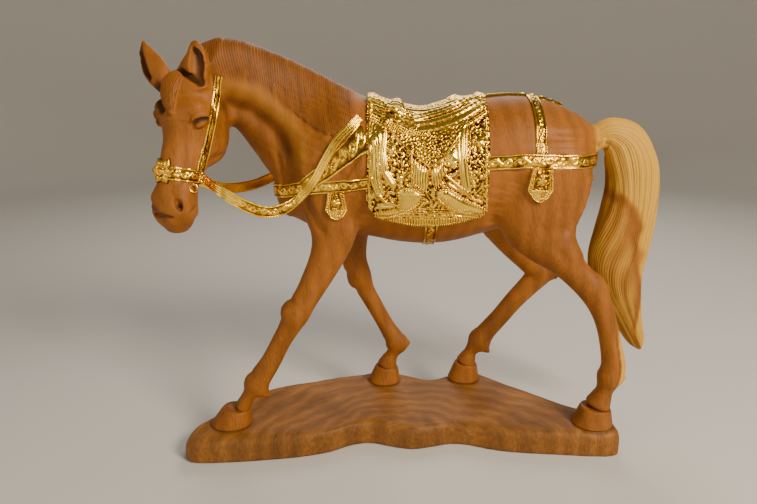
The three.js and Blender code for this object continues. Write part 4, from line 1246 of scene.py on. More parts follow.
# The cloth's relief is drawn in the reference view: each place as its pixels across and down.
# Beads and fringe, plain places with their reach, folds with their width, and so on down to the swags.
BEAD_LINES = [
    [(369.5, 122), (369.5, 150), (370, 185), (371, 212)],
    [(486, 112), (486, 150), (486, 190), (485, 212)],
    [(390, 133), (411, 158), (429.5, 172.5), (447, 160), (461, 141)],
    [(400, 208.5), (415, 207.5), (430, 208.5), (450, 208), (468, 207)],
    [(377, 132), (376, 152), (378, 178), (383, 193), (395, 200)],
    [(470, 130), (469.5, 156), (471, 182)],
    [(388, 140), (389, 156), (393, 172)],
]
THREAD_LINES = [
    [(372, 217.5), (385, 222), (400, 224), (415, 224.5), (440, 224.5), (455, 224), (470, 222.5), (484, 219)],
    [(378, 215), (390, 214.5), (403, 210.5), (411, 206), (419, 201), (422, 195), (419, 190), (411, 186.5)],
    [(441, 189.5), (438, 194), (441, 201), (452, 207), (470, 211.5), (484, 212)],
    [(413, 182), (421, 188.5), (429, 190.5)],
    [(431, 188.5), (437, 186.5), (443.5, 180)],
]
POLISHED = [
    ((452, 156), (9.5, 15)), ((480, 143), (5, 9)), ((392, 150), (4.5, 11)), ((400, 178), (5, 7)),
    ((436, 141), (8, 5)),
]
FOLDS = [
    ([(375, 128), (374, 150), (376, 178), (380, 192)], 5.5),
    ([(383, 134), (382, 152), (385, 172), (393, 184)], 4.2),
    ([(463, 122), (462, 150), (464, 176), (466, 188)], 5.0),
]
POINT_OUTLINE = [
    (386, 128), (432, 131), (470, 122), (458, 140), (445, 159), (429.5, 169), (411, 155), (398, 142),
]
LAPPETS = [
    ([(412, 157), (429.5, 170), (430, 184), (425, 193), (412, 183)], 0.08),
    ([(430, 170), (445, 160), (443, 180), (437, 187), (431, 185)], -0.10),
]
LEAVES = [
    ((388, 176), [
        (396, 191), (403, 186), (416, 187.5), (423, 191), (423, 199), (419, 205), (412, 210.5), (403, 214),
        (389, 217), (380, 216), (374, 212), (380, 209), (396, 207), (398, 198)]),
    ((468, 166), [
        (437, 191), (441, 187.5), (449, 187.5), (458, 193), (467, 198), (479, 203.5), (485, 207), (485, 212),
        (479, 216), (465, 215), (451, 211.5), (440.5, 205), (436, 198)]),
]
LEDGES = [
    [(381, 203), (397, 204), (396, 207), (380, 209), (374, 208)],
    [(446, 180), (462, 190), (482, 201), (482, 204), (462, 194), (448, 187)],
]
ROLLED_EDGES = [
    ([(372, 178), (377, 192), (386, 201), (397, 204)], 2.0),
    ([(445, 175), (455, 183), (463, 190), (470, 197), (481, 201)], 2.2),
    ([(411.5, 150), (411.5, 183)], 1.4),
]
HEM_LINES = [
    ([(400, 212), (415, 211), (430, 212), (450, 211), (470, 210)], 1.5, 4.0),
    ([(370, 219), (385, 216), (410, 214), (430, 215.5), (455, 214), (486, 216)], 1.3, 3.6),
]
FRINGE_TOP = [(368, 220.5), (385, 217.5), (410, 215.5), (430, 217), (455, 215.5), (488, 217.5)]
BEADED_SWAG = [(367, 117), (381, 124), (396, 130), (411, 133.5), (424, 134)]
SWAGS = [
    ([(367, 111), (382, 117), (400, 124.5), (415, 130), (428, 131)], 3.6, 3.2),
    ([(367, 107), (382, 112.5), (400, 120), (417, 126), (430, 128)], 3.4, 4.2),
    ([(367, 102), (381, 106), (391, 112), (405, 118), (418, 120), (431, 119)], 3.6, 4.8),
    ([(492, 106), (486, 114), (477, 121), (468, 126)], 2.8, 2.8),
    ([(490, 101), (482, 108), (471, 115), (455, 123), (437, 129), (420, 132)], 4.6, 3.4),
    ([(490, 98), (481, 103), (470, 110), (455, 117), (437, 123), (416, 127)], 4.2, 4.4),
    ([(470, 103), (458, 110), (446, 115), (429, 120), (413, 124)], 3.4, 5.0),
    ([(463, 98), (455, 108), (444, 113), (430, 117), (412, 120)], 3.4, 5.2),
]
SIDE_EDGES = (368, 488)


def on_cloth(places, u, v, line):
    """A line drawn in the reference view, brought onto the cloth as a smooth path in space."""
    found = [places.reshape(-1, 3)[np.argmin((u - a) ** 2 + (v - b) ** 2)] for a, b in line]
    return curve_through(found, 6)


def path_gap(places, path):
    """Distance in space to a path, and how far along it the nearest place is."""
    best, along, run = np.full(places.shape[:-1], 1e9), np.zeros(places.shape[:-1]), 0.0
    for a, b in zip(path[:-1], path[1:]):
        step = b - a
        length = max(np.linalg.norm(step), 1e-6)
        share = np.clip(((places - a) @ step) / length ** 2, 0, 1)
        gap = np.linalg.norm(places - a - share[..., None] * step, axis=-1)
        along = np.where(gap < best, run + share * length, along)
        best = np.minimum(best, gap)
        run += length
    return best, along


def saddle_relief(u, v, places):
    """Height of the saddle's cloth and its painted shade and highlight: u along it and v down it as the
    reference view shows the near side.
    """
    ground = 0.55 * filigree(u, v, 4.8) + 0.55 * filigree(u + 3, v, 10.5)
    height = 1.9 + (1.6 * ground - 0.3)
    shade = 0.04 + 0.95 * smooth(ground, 0.1, 0.75)

    # Each part lays its height and its tone, which is painted shade in the hollows and painted highlight on
    # the heights.
    def lay(mask, level, texture, tone):
        nonlocal height, shade
        raised = smooth(mask, 0, 1.3)
        height = np.where(mask > 0, height * (1 - raised) + (level + texture) * raised, height)
        shade = np.where(mask > 0, shade * (1 - raised) + tone * raised, shade)

    # Plain polished places between the scrolls.
    for centre, reach in POLISHED:
        gap = np.hypot((u - centre[0]) / reach[0], (v - centre[1]) / reach[1])
        lay(1.3 * (1 - gap), 2.6, 1.4 * np.clip(1 - gap, 0, 1) + 0.12 * ground, 0.85 + 0.2 * ground)
    # Plain folds that hang at the front and the rear.
    for line, reach in FOLDS:
        gap, _ = line_gap(u, v, line)
        fold = 0.5 + 0.5 * np.cos(gap * 2 * math.pi / 4.4)
        lay(reach - gap, 2.9, 1.0 * fold + 1.0 * (1 - gap / reach), 0.6 + 0.4 * fold)
    # The filigree point in the middle, with a double rim.
    point = inside_by(u, v, POINT_OUTLINE)
    fine = filigree(u * 1.15, v * 1.1, 4.2)
    lay(point, 3.2, 1.2 * fine, 0.1 + 0.9 * fine)
    lay(1.5 - np.abs(point - 1.5), 3.6, 0.7, 0.9)
    # Two lappets of straight fringe below the point.
    for outline, lean in LAPPETS:
        strands = comb(u + lean * v, 2.7, 0.8)
        within = inside_by(u, v, outline)
        lay(within, 3.6, 1.2 * strands + 1.6 * smooth(within, 0, 7), 0.1 + 0.9 * strands)
    # Leaf-shaped flaps below them, smooth with fine strands and a toothed border.
    for centre, outline in LEAVES:
        within = inside_by(u, v, outline)
        _, along = line_gap(u, v, outline + outline[:1])
        strands = comb(np.arctan2(v - centre[1], u - centre[0]) * 30, 1.9, 0.8)
        teeth = comb(along, 2.6, 0.8)
        lay(within, 3.0, 0.3 + 1.0 * teeth, 0.95 * teeth)
        lay(within - 2.4, 3.9, 1.6 * smooth(within, 2, 7) + 0.5 * strands, 0.35 + 0.55 * strands)
    for outline in LEDGES:
        within = inside_by(u, v, outline)
        lay(within, 3.0, 0.8 * smooth(within, 0, 3), 0.9)
    # Rolled edges of the side hangings.
    for line, reach in ROLLED_EDGES:
        gap, _ = line_gap(u, v, line)
        lay(reach - gap, 4.4, 0.9 * (1 - gap / reach), 0.9 - 0.5 * gap / reach)
    # Hem: two raised lines and the fringe below them.
    for line, reach, level in HEM_LINES:
        gap, _ = line_gap(u, v, line)
        lay(reach - gap, level, 0.8 * (1 - gap / reach), 0.95)
    strands = comb(u, 2.6, 0.8)
    lay(v - np.interp(u, *zip(*FRINGE_TOP)), 2.4, 1.3 * strands, 0.05 + 0.8 * strands)
    # Swags: twisted folds of cloth from the upper corners, and the beaded band under the front one.
    beads = comb(u + 0.6 * v, 2.7, 0.8) * comb(v - 0.5 * u, 2.7, 0.8)
    gap, _ = path_gap(places, on_cloth(places, u, v, BEADED_SWAG))
    lay(5.5 - gap, 3.8, 1.5 * beads, 0.15 + 0.85 * beads)
    for line, reach, level in SWAGS:
        gap, along = path_gap(places, on_cloth(places, u, v, line))
        twist = 0.5 + 0.5 * np.cos((along * 0.8 + gap * 1.2) * 2 * math.pi / 5.0)
        dome = np.sqrt(np.clip(1 - (gap / reach) ** 2, 0, 1))
        # Painted shade along the swags' sides and painted highlight along their tops.
        tone = 0.05 + 0.75 * dome ** 1.5 + 0.2 * twist
        lay((reach - gap) * 1.3, level - 1.2, 3.0 * dome + 0.5 * twist * dome, tone)
    # A raised rim along each side edge, with a painted highlight on it.
    edge = np.minimum(u - SIDE_EDGES[0], SIDE_EDGES[1] - u)
    rim = np.exp(-((edge - 1.6) / 1.1) ** 2)
    height = height * (0.62 + 0.38 * smooth(edge, 0, 1.6)) + 0.8 * rim
    shade = np.maximum(shade, 0.9 * rim)
    return np.clip(height, 1.0, 8.2), shade


def in_view(points):
    """Where places show in the reference view. The far side counts as its mirror image."""
    away = -VIEW_EYE[1] - np.abs(points[..., 1])
    up = points[..., 2] - (VIEW_EYE[2] - SOLE)
    depth = away * math.cos(VIEW_PITCH) - up * math.sin(VIEW_PITCH)
    rise = up * math.cos(VIEW_PITCH) + away * math.sin(VIEW_PITCH)
    across = VIEW_FOCAL * (points[..., 0] - VIEW_EYE[0]) / depth
    return VIEW_CENTRE[0] + across, VIEW_CENTRE[1] - VIEW_FOCAL * rise / depth


def build_cloth(surface, settings):
    """The saddle cloth on both sides, with its rows of beads and fringe."""
    columns, rows = steps(224, 120), steps(290, 150)
    x = np.linspace(CLOTH_FRONT, CLOTH_REAR, columns)
    table = np.array(TRUNK, float)
    centre_z = np.interp(x, table[:, 0], table[:, 2])
    hem_z = np.interp(x, [-41, -36, -30, 9, 48, 93], [275, 266, 259, 251, 252.5, 262])
    low = np.arcsin(np.clip((hem_z - centre_z) / 80, -0.95, 0.2))[None, :]
    angle = low + (math.radians(76) - low) * np.linspace(0, 1, rows)[:, None]
    for side, name in ((-1, "near"), (1, "far")):
        ray = spread(0, side * np.cos(angle), np.sin(angle))
        places, normals = laid(surface, spread(x, 0, centre_z) + ray * 160, -ray, 3, 14)
        height, shade = saddle_relief(*in_view(places), places * (1, -side, 1))
        sheet = gilt_sheet(places, normals, height, shade)
        nodes = ["saddle"] if side < 0 else []
        gilt_piece("saddle_cloth_" + name, [sheet], settings, *nodes, limit=122000)
        view, top = in_view(places), places + normals * (GOLD_GAP + height)[..., None]
        beads = [trace(line, view, top, normals) for line in BEAD_LINES]
        threads = [trace(line, view, top, normals, 0.0) for line in THREAD_LINES]
        threads = [(path - 0.3 * way, -side * way) for path, way in threads]
        gilt_row("saddle_beads_" + name, "Bead", beads, 2.1, 0.95, 0, settings)
        gilt_row("saddle_fringe_" + name, "Fringe", threads, 2.3, 0.85, 3.8, settings)


def build_seat(surface, settings):
    """The seat over the back, quilted, with a pommel, a cantle and a twisted hem."""
    along = np.linspace(CLOTH_FRONT - 0.5, CLOTH_REAR + 0.5, steps(170, 110))[:, None]
    reach = np.interp(along, [-41, -20, 20, 50, 70, 93], [25, 30, 33, 33, 30, 24])
    y = np.linspace(-1, 1, steps(101, 70))[None, :] * reach
    places, normals = laid(surface, spread(along, y, 470.0), DOWN, 3, 10)
    edge = reach - np.abs(y)
    quilt = filigree(places[..., 0], places[..., 1], 6.5)
    folds = 0.5 + 0.5 * np.cos((np.abs(y) + 9 * np.sin((along + 40) / 40)) * 2 * math.pi / 6.0)
    rolls = (2.0 * np.exp(-((along + 34) / 5.5) ** 2)
             + 3.6 * np.exp(-((along - 60) / 7.0) ** 2) * np.exp(-(y / 26) ** 2)
             + 2.2 * np.exp(-((along - 87) / 4.5) ** 2))
    hem = np.exp(-((edge - 2.2) / 1.6) ** 2)
    twist = 0.5 + 0.5 * np.cos((along + 0.8 * np.abs(y)) * 2 * math.pi / 4.6)
    outer = smooth(np.abs(y) / reach, 0.45, 0.62)
    pattern = quilt * (1 - outer) + folds * outer
    height = 3.4 + 1.0 * pattern + rolls + hem * (1.6 + 0.5 * twist)
    height = 2.2 + (height - 2.2) * smooth(edge, -0.1, 1.2)
    # Painted shade and highlight that follow the quilting, the hem and the rolls.
    shade = np.clip(0.15 + 0.7 * pattern + 0.5 * hem * twist + 0.1 * rolls, 0, 1)
    gilt_piece("saddle_seat", [gilt_sheet(places, normals, height, shade)], settings)


def build_saddle(settings):
    surface = wood_surface()
    build_cloth(surface, settings)
    build_seat(surface, settings)
    angle = np.linspace(math.radians(-152), math.radians(-28), steps(160, 60))[:, None]
    v = np.linspace(-7, 7, 17)[None, :]
    ray = spread(0, np.cos(angle), np.sin(angle))
    girth = laid(surface, spread(32 + v, 0, 300.0) + ray * 160, -ray, 0, 4)
    gilt_piece("saddle_girth", [gilt_sheet(*girth, *band_relief(angle * 75, v, 7, 9, 1.9))], settings)


def radial_band(surface, axis, angles, heights, half, count, relief, start=112):
    """A strap that runs round an upright axis at changing heights, laid on the wood."""
    angle, v = angles[:, None], np.linspace(-1, 1, count)[None, :] * np.reshape(half, (-1, 1))
    slope = np.gradient(heights, angles)[:, None]
    ray = spread(np.cos(angle), np.sin(angle), 0)
    height = heights[:, None] + v * np.sqrt(1 + np.clip(slope / 60, -1.2, 1.2) ** 2)
    places, normals = laid(surface, spread(*axis, height) + ray * start, -ray, 2, 6)
    return gilt_sheet(places, normals, *relief(run_length(places[:, count // 2])[:, None], v))


# The outline of a pendant: shares of its length, and of its half width there.
PENDANT_DOWN, PENDANT_WIDE = [0, 0.62, 0.86, 1], [0.8, 1.0, 0.62, 0.10]


def pendant(surface, side, x, z, half, length, rose):
    """A shield-shaped pendant on the side of the body, with nested rims, a boss and a fringe at its tip."""
    a = np.linspace(-1, 1, 56)[None, :]
    b = np.linspace(0, 1, 84)[:, None]
    outline = np.interp(b, PENDANT_DOWN, PENDANT_WIDE) * half
    px, v = x + a * outline, b * length
    places, normals = laid(surface, spread(px, side * 130.0, z - v), np.array([0, -side, 0.0]), 0, 8)
    edge = np.minimum((1 - np.abs(a)) * outline, (1 - b) * length * 0.8)
    rim = np.exp(-((edge - 1.1) / 0.8) ** 2) + 0.8 * np.exp(-((edge - 4.2) / 0.7) ** 2)
    tip = smooth(v, 0.60 * length, 0.66 * length)
    hatch = comb(px + np.where(a > 0, -1, 1) * 0.7 * v, 2.2, 0.8)
    centre = 0.36 * length
    radius = np.hypot(px - x, v - centre)
    petals = 0.65 + 0.35 * np.cos(rose * np.arctan2(v - centre, px - x))
    flower = np.clip(1 - radius / (0.42 * half), 0, 1) ** 0.5 * petals
    boss = np.exp(-(radius / (0.14 * half)) ** 2)
    ground = filigree(px, v, 4.4) * 0.6
    relief = np.maximum(np.maximum(rim, flower * 1.3 + boss * 0.7), np.where(tip > 0.5, hatch * 0.9, ground))
    height = 1.9 * smooth(edge, -0.1, 0.8) + 1.5 * relief + 0.6
    # Painted shade and highlight that follow the relief.
    return gilt_sheet(places, normals, height, np.clip(0.1 + relief * 0.8, 0, 1))


def pendant_beads(surface, side, x, z, half, length):
    """The path of the beads inside a pendant's rim."""
    b = np.linspace(0.06, 0.95, 14)
    wide = np.interp(b, PENDANT_DOWN, PENDANT_WIDE) * half - 2.4
    down = z - b * length
    line = np.concatenate([np.stack([x - wide, down], 1), np.stack([x + wide, down], 1)[::-1]])
    origin = spread(line[:, 0], side * 130.0, line[:, 1])
    places, normals = cast(surface, origin, np.array([0, -side, 0.0]))
    return even_line(places + 3.3 * normals, 1), normals


# Pendants: x, height, half width and length.
BREAST_PENDANT = (-75, 292, 11.5, 32)
HIP_PENDANT = (150, 318.5, 14, 39)


def build_breast_harness(settings):
    surface = wood_surface()
    half = settings.band_width * 500
    sheets = []
    for side in (-1, 1):
        degrees = np.linspace(-52.5, -181, steps(330, 130))
        heights = np.interp(-degrees, [52, 69, 90, 115, 141, 180], [353, 335, 315, 295, 288, 286])
        broad = np.interp(-degrees, [52, 75, 100, 125], [1.38, 1.25, 1.05, 0.95])[:, None] * half
        turn = -side * np.radians(degrees)
        sheets.append(radial_band(surface, (-85, 0), turn, even_line(heights, 14), broad, 27,
                                  lambda u, v: band_relief(u, v, broad, 13, 2.3), 104))
        degrees = np.linspace(-54.5, -112, steps(150, 60))
        heights = np.interp(-degrees, [54, 69, 90, 112], [301, 299, 297, 294])
        sheets.append(radial_band(surface, (-85, 0), -side * np.radians(degrees), heights, half * 0.86, 22,
                                  lambda u, v: band_relief(u, v, half * 0.86, 11, 1.9), 104))
        sheets.append(pendant(surface, side, *BREAST_PENDANT, 6))
    sheets.append(fringe_drop(surface))
    gilt_piece("breast_harness_gilt", sheets, settings, "breast_harness", limit=84000)
    beads = [pendant_beads(surface, side, *BREAST_PENDANT) for side in (-1, 1)]
    gilt_row("breast_pendant_beads", "Bead", beads, 2.0, 0.9, 0, settings)


def even_line(values, rounds):
    """Smooths a row of values or of places."""
    for _ in range(rounds):
        padded = np.pad(values, [(1, 1)] + [(0, 0)] * (values.ndim - 1), "edge")
        values = 0.5 * values + 0.25 * (padded[:-2] + padded[2:])
    return values


def fringe_drop(surface):
    """The fringed drop below the breast band at the middle of the chest."""
    a = np.linspace(-1, 1, 50)[None, :]
    b = np.linspace(0, 1, 50)[:, None]
    y = a * 13 * (1 - 0.35 * b)
    z = 283 - b * 20 - 3 * (1 - a * a) * b
    strands = comb(y, 2.3, 0.8)
    height = 1.2 + 1.2 * strands + 1.2 * (smooth(b, 0.0, 0.15) * (1 - smooth(b, 0.15, 0.3)))
    places, normals = laid(surface, spread(-196.0, y, z), np.array([1.0, 0, 0]))
    # Painted shade between the strands.
    return gilt_sheet(places, normals, height, 0.2 + 0.7 * strands)


def hip_strap(surface):
    """The strap that goes over the croup from one side's band to the other's."""
    angle = np.linspace(math.radians(12), math.radians(168), steps(330, 120))[:, None]
    v = np.linspace(-6, 6, 21)[None, :]
    ray = spread(0, -np.cos(angle), np.sin(angle))
    x = np.interp(np.degrees(angle), [12, 60, 90, 120, 168], [149, 148, 147, 148, 149]) + v
    places, normals = laid(surface, spread(x, 0, 318.0) + ray * 150, -ray, 2, 6)
    return gilt_sheet(places, normals, *band_relief(angle * 70, v, 6, 9, 2.0), GOLD_GAP + 0.2)


def spine_strap(surface):
    """The strap along the spine, plain, and scalloped where it widens over the croup."""
    along = np.linspace(94, 183, steps(170, 80))[:, None]
    v = np.linspace(-1, 1, 23)[None, :]
    croup = smooth(along, 128, 134)
    wide = 6.0 + 1.6 * croup * np.abs(np.cos((along - 128) * math.pi / 11))
    places, normals = laid(surface, spread(along, v * wide, 460.0), DOWN)
    knobs = croup * np.exp(-(((along - 133.5) % 11 - 5.5) / 3.0) ** 2 - (v / 0.6) ** 2)
    edge = (1 - np.abs(v)) * wide
    height = 1.9 * smooth(edge, -0.1, 1.0) + 0.7 * np.exp(-((edge - 1.1) / 0.7) ** 2) + 2.2 * knobs + 0.5
    # Painted highlight on the knobs and along the edges.
    shade = np.clip(0.35 + 0.65 * knobs + 0.4 * (edge < 2), 0, 1)
    return gilt_sheet(places, normals, np.minimum(height, 5.0), shade)


def build_breeching(settings):
    surface = wood_surface()
    half = settings.band_width * 500
    degrees = np.linspace(-121.5, 121.5, steps(520, 180))
    heights = np.interp(np.abs(degrees), [0, 30, 90, 122], [321, 323, 325.5, 323])
    sheets = [
        radial_band(surface, (130, 0), np.radians(degrees), heights, half, 26,
                    lambda u, v: band_relief(u, v, half, 15, 2.2)),
        hip_strap(surface), spine_strap(surface)]
    sheets += [pendant(surface, side, *HIP_PENDANT, 5) for side in (-1, 1)]
    gilt_piece("breeching_gilt", sheets, settings, "breeching", limit=84000)
    beads = [pendant_beads(surface, side, *HIP_PENDANT) for side in (-1, 1)]
    gilt_row("breeching_pendant_beads", "Bead", beads, 2.2, 1.0, 0, settings)


# The middle of the cheek strap, as t and left.
CHEEK_STRAP = [(95, 28), (80, 32.7), (64, 36.3), (48, 38.8), (27, 41.5), (6, 43.1), (-9, 44)]


def mirrored(places, centre):
    """Places, or ways where the centre is zero, brought over to the other side of the head."""
    return places - 2 * ((places - centre) @ HEAD_LEFT)[:, None] * HEAD_LEFT


def cheek_straps(surface):
    """The two cheek straps, laid on the head along the line of sight from the reference view."""
    line = curve_through(CHEEK_STRAP, steps(26, 10))
    middle = np.array([on_head(t, 0, left) for t, left in line])
    sight = unit(middle - (VIEW_EYE[0], VIEW_EYE[1], VIEW_EYE[2] - SOLE))
    clear = line[:, 0] > 14
    v = np.linspace(-4.2, 4.2, 15)
    sides = (middle, sight), (mirrored(middle[clear], CROWN), mirrored(sight[clear], 0 * CROWN))
    for centre, way in sides:
        over = unit(np.cross(unit(np.gradient(centre, axis=0)), way))
        origin = centre[:, None] + over[:, None] * v[None, :, None] - way[:, None] * 45
        places, normals = laid(surface, origin, way[:, None], 3, 8)
        relief = band_relief(run_length(centre)[:, None], v, 4.2, 7, 2.0)
        yield gilt_sheet(places, normals, *relief, GOLD_GAP + 0.1)


def build_bridle(settings):
    surface = wood_surface()
    turn = np.linspace(0, 2 * math.pi, steps(260, 110))[:, None]
    v = np.linspace(-7, 7, 21)[None, :]
    ray = np.sin(turn)[..., None] * HEAD_LEFT + np.cos(turn)[..., None] * HEAD_OUT
    origin = on_head(98, -2, 0) + v[..., None] * HEAD_DOWN + ray * 60
    sheets = [gilt_sheet(*laid(surface, origin, -ray), *band_relief(turn * 22, v, 7, 9, 2.2))]
    for mirror, strap in zip(BOTH, cheek_straps(surface)):
        centre = on_head(98, -12, mirror * head_side(98, -12))
        sheets += [strap, rosette(centre, mirror * HEAD_LEFT, HEAD_DOWN, 8.0, 4.6, 7)]
    sheets.append(rosette(on_head(96, 19.5, -2), HEAD_OUT, HEAD_DOWN, 15.5, 6.5, 6))
    gilt_piece("bridle_gilt", sheets, settings, "bridle")
    turn = np.linspace(0, 2 * math.pi, 41)[:, None]
    ring = np.cos(turn) * HEAD_LEFT + np.sin(turn) * HEAD_DOWN
    rows = [(on_head(96, 20.5, -2) + radius * ring + raised * HEAD_OUT, np.repeat(HEAD_OUT[None], 41, 0))
            for radius, raised in ((4.6, 4.2), (7.6, 3.2))]
    gilt_row("bridle_rosette_beads", "Bead", rows, 1.9, 0.85, 0, settings)
    loop = ring_mesh(on_head(111, 1, 24.5), unit(HEAD_LEFT + HEAD_OUT), 4.0, 1.0)
    gilt_piece("bridle_bit_ring", [loop], settings)


def ring_mesh(centre, axis, radius, thick):
    """A round ring whose faces point outwards."""
    around, section = 48, 12
    turn = (np.linspace(0, 2 * math.pi, n, endpoint=False) for n in (around, section))
    a, b = np.meshgrid(*turn, indexing="ij")
    first = unit(np.cross(axis, HEAD_DOWN))
    out = np.cos(a)[..., None] * first + np.sin(a)[..., None] * np.cross(axis, first)
    points = centre + out * (radius + thick * np.cos(b))[..., None] + axis * (thick * np.sin(b))[..., None]
    faces = grid_faces(around + 1, section, wrap=True)[:, ::-1] % a.size
    return points.reshape(-1, 3), faces, np.full((a.size, 3), 0.8)


def rosette(centre, outward, down, radius, depth, petals):
    """A domed flower with a boss in the middle."""
    around, rings = 96, 26
    across = unit(np.cross(down, outward))
    turn = np.linspace(0, 2 * math.pi, around, endpoint=False)[None, :]
    r = np.linspace(0, 1, rings)[:, None]
    lobe = 0.70 + 0.30 * (1 - np.abs(np.sin(petals * turn / 2))) ** 0.8
    reach = radius * r * (1 - r ** 3 * (1 - lobe))
    petal = np.abs(np.cos(petals * turn / 2)) ** 0.8
    dome = np.sqrt(np.clip(1 - r ** 2.4, 0, 1)) * (0.45 + 0.35 * petal * smooth(r, 0.2, 0.6))
    groove = 0.16 * np.exp(-((r - 0.34) / 0.07) ** 2)
    height = depth * (dome + 0.55 * np.exp(-(r / 0.22) ** 2) - groove)
    x, y = np.cos(turn) * reach, np.sin(turn) * reach
    top = centre + x[..., None] * across + y[..., None] * down + height[..., None] * outward
    under = centre + x[-1:, :, None] * across + y[-1:, :, None] * down - 2.0 * outward
    flat, faces = closed_tube(np.concatenate([top[1:], under]), top[0, 0], centre - 2.0 * outward)
    tones = np.zeros((len(flat), 3))
    # Painted highlight on the dome and the boss, painted shade towards the rim.
    tones[:(rings - 1) * around, 0] = np.clip(height[1:] / depth * 1.1, 0, 1).ravel()
    return flat, faces, tones


# The reins from the bit to the shoulder, as x ahead of it, y and z; then where both lie on the shoulder.
SHOULDER = -100
LEFT_REIN = [(98, -84, 297), (76, -84, 282), (52, -80, 272), (32, -72, 274), (14, -64, 286)]
RIGHT_REIN = [(146, -18, 298), (116, 8, 284), (88, 34, 283), (60, 54, 292), (30, 63, 299)]
REIN_ENDS = [(-98, 303), (-86, 325), (-72, 347), (-58, 360), (-49, 368)]


def build_reins(settings):
    surface = wood_surface()
    half = settings.rein_width * 500
    for name, mirror, line in (("left_rein", 1, LEFT_REIN), ("right_rein", -1, RIGHT_REIN)):
        side = -mirror
        path = [on_head(100, -15, mirror * 26)] + [(SHOULDER - x, y, z) for x, y, z in line]
        for x, z in REIN_ENDS:
            place, normal = cast(surface, np.array([[[x, side * 130.0, z]]]), np.array([0.0, -side, 0]))
            path.append((place + normal * 4.6)[0, 0])
        path = curve_through(path, steps(26, 9))
        way = unit(np.gradient(path, axis=0))
        share = np.arange(len(path)) / len(path)
        blend = smooth(share, 0.36, 0.52)[:, None]
        flat_out = np.array([0, side, 0.0])
        laid_across = unit(np.cross(way, flat_out))
        free_across = unit(-DOWN - way * (way @ -DOWN)[:, None])
        same_way = np.sign((laid_across * free_across).sum(1, keepdims=True))
        across = unit(free_across * (1 - blend) + laid_across * same_way * blend)
        outward = unit(np.cross(way, across))
        outward *= np.sign((outward * flat_out).sum(1, keepdims=True) + 1e-9)
        half_here = half * (1 - 0.18 * (1 - smooth(share, 0, 0.3)) - 0.34 * blend[:, 0])[:, None]
        v = np.linspace(-1, 1, 21)[None, :] * half_here
        run = run_length(path)[:, None]
        places = path[:, None] + across[:, None] * v[..., None]
        normals = np.broadcast_to(outward[:, None], places.shape)
        height, tone = band_relief(run, v, half_here, 12, 1.5)
        plain = 1 - smooth(run, 40, 62) * (1 - 0.7 * blend)
        fine = 0.5 + 0.5 * np.cos(v * 2 * math.pi / 2.6)
        height = height * (1 - plain) + (1.2 + 0.7 * fine) * plain
        # Painted shade between the fine ridges of the plain part.
        tone = tone * (1 - plain) + (0.6 + 0.35 * fine) * plain
        points, faces, tones = gilt_sheet(places, normals, height * 0.85, tone, 0.0)
        # The underside is rounded off towards both edges.
        hollow = normals * (0.7 * smooth(half_here - np.abs(v), 0, 1.5))[..., None]
        points[height.size:] -= hollow.reshape(-1, 3)
        tones[height.size:, 0] = 0.75
        gilt_piece(name + "_gilt", [(points, faces, tones)], settings, name)


# Materials.

def group_node(tree, group, **values):
    node = tree.nodes.new("ShaderNodeGroup")
    node.node_tree = group
    for name, value in values.items():
        node.inputs[name.replace("_", " ")].default_value = value
    return node


def new_group(name, inputs, outputs):
    group = bpy.data.node_groups.new(name, "ShaderNodeTree")
    for label, kind, value in inputs:
        socket = group.interface.new_socket(label, in_out="INPUT", socket_type=kind)
        if value is not None:
            socket.default_value = value
    for label, kind in outputs:
        group.interface.new_socket(label, in_out="OUTPUT", socket_type=kind)
    return group, group.nodes.new("NodeGroupInput"), group.nodes.new("NodeGroupOutput")


def put(tree, kind, links=(), **settings):
    """Adds a node, sets its properties and sockets, and links sockets into it."""
    node = tree.nodes.new(kind)
    for name, value in settings.items():
        if hasattr(node, name):
            setattr(node, name, value)
        else:
            node.inputs[name.replace("_", " ")].default_value = value
    for source, target in links:
        tree.links.new(source, node.inputs[target])
    return node


def math_node(tree, operation, first, second=None):
    node = tree.nodes.new("ShaderNodeMath")
    node.operation = operation
    for i, value in enumerate((first, second)):
        if value is None:
            continue
        if isinstance(value, (int, float)):
            node.inputs[i].default_value = value
        else:
            tree.links.new(value, node.inputs[i])
    return node.outputs[0]


def mix_node(tree, factor, first, second, kind="MIX"):
    node = tree.nodes.new("ShaderNodeMix")
    node.data_type = "RGBA"
    node.blend_type = kind
    for socket, value in ((node.inputs[0], factor), (node.inputs[6], first), (node.inputs[7], second)):
        if isinstance(value, (int, float)):
            socket.default_value = value
        elif isinstance(value, (tuple, list)):
            socket.default_value = (*value[:3], 1)
        else:
            tree.links.new(value, socket)
    return node.outputs[2]


def ramp(tree, factor, stops):
    node = tree.nodes.new("ShaderNodeValToRGB")
    elements = node.color_ramp.elements
    while len(elements) < len(stops):
        elements.new(0.5)
    for element, (position, colour) in zip(elements, stops):
        element.position = position
        element.color = (*colour, 1)
    tree.links.new(factor, node.inputs[0])
    return node.outputs[0]


def numbers(node, **values):
    """Sets a node's sockets, each by its name with an underscore for every space."""
    for name, value in values.items():
        node.inputs[name.replace("_", " ")].default_value = value


def stretched(tree, vector, share):
    """The vector with its run along Z squeezed to a share."""
    node = put(tree, "ShaderNodeMapping", [(vector, 0)])
    numbers(node, Scale=(1, 1, share))
    return node.outputs[0]


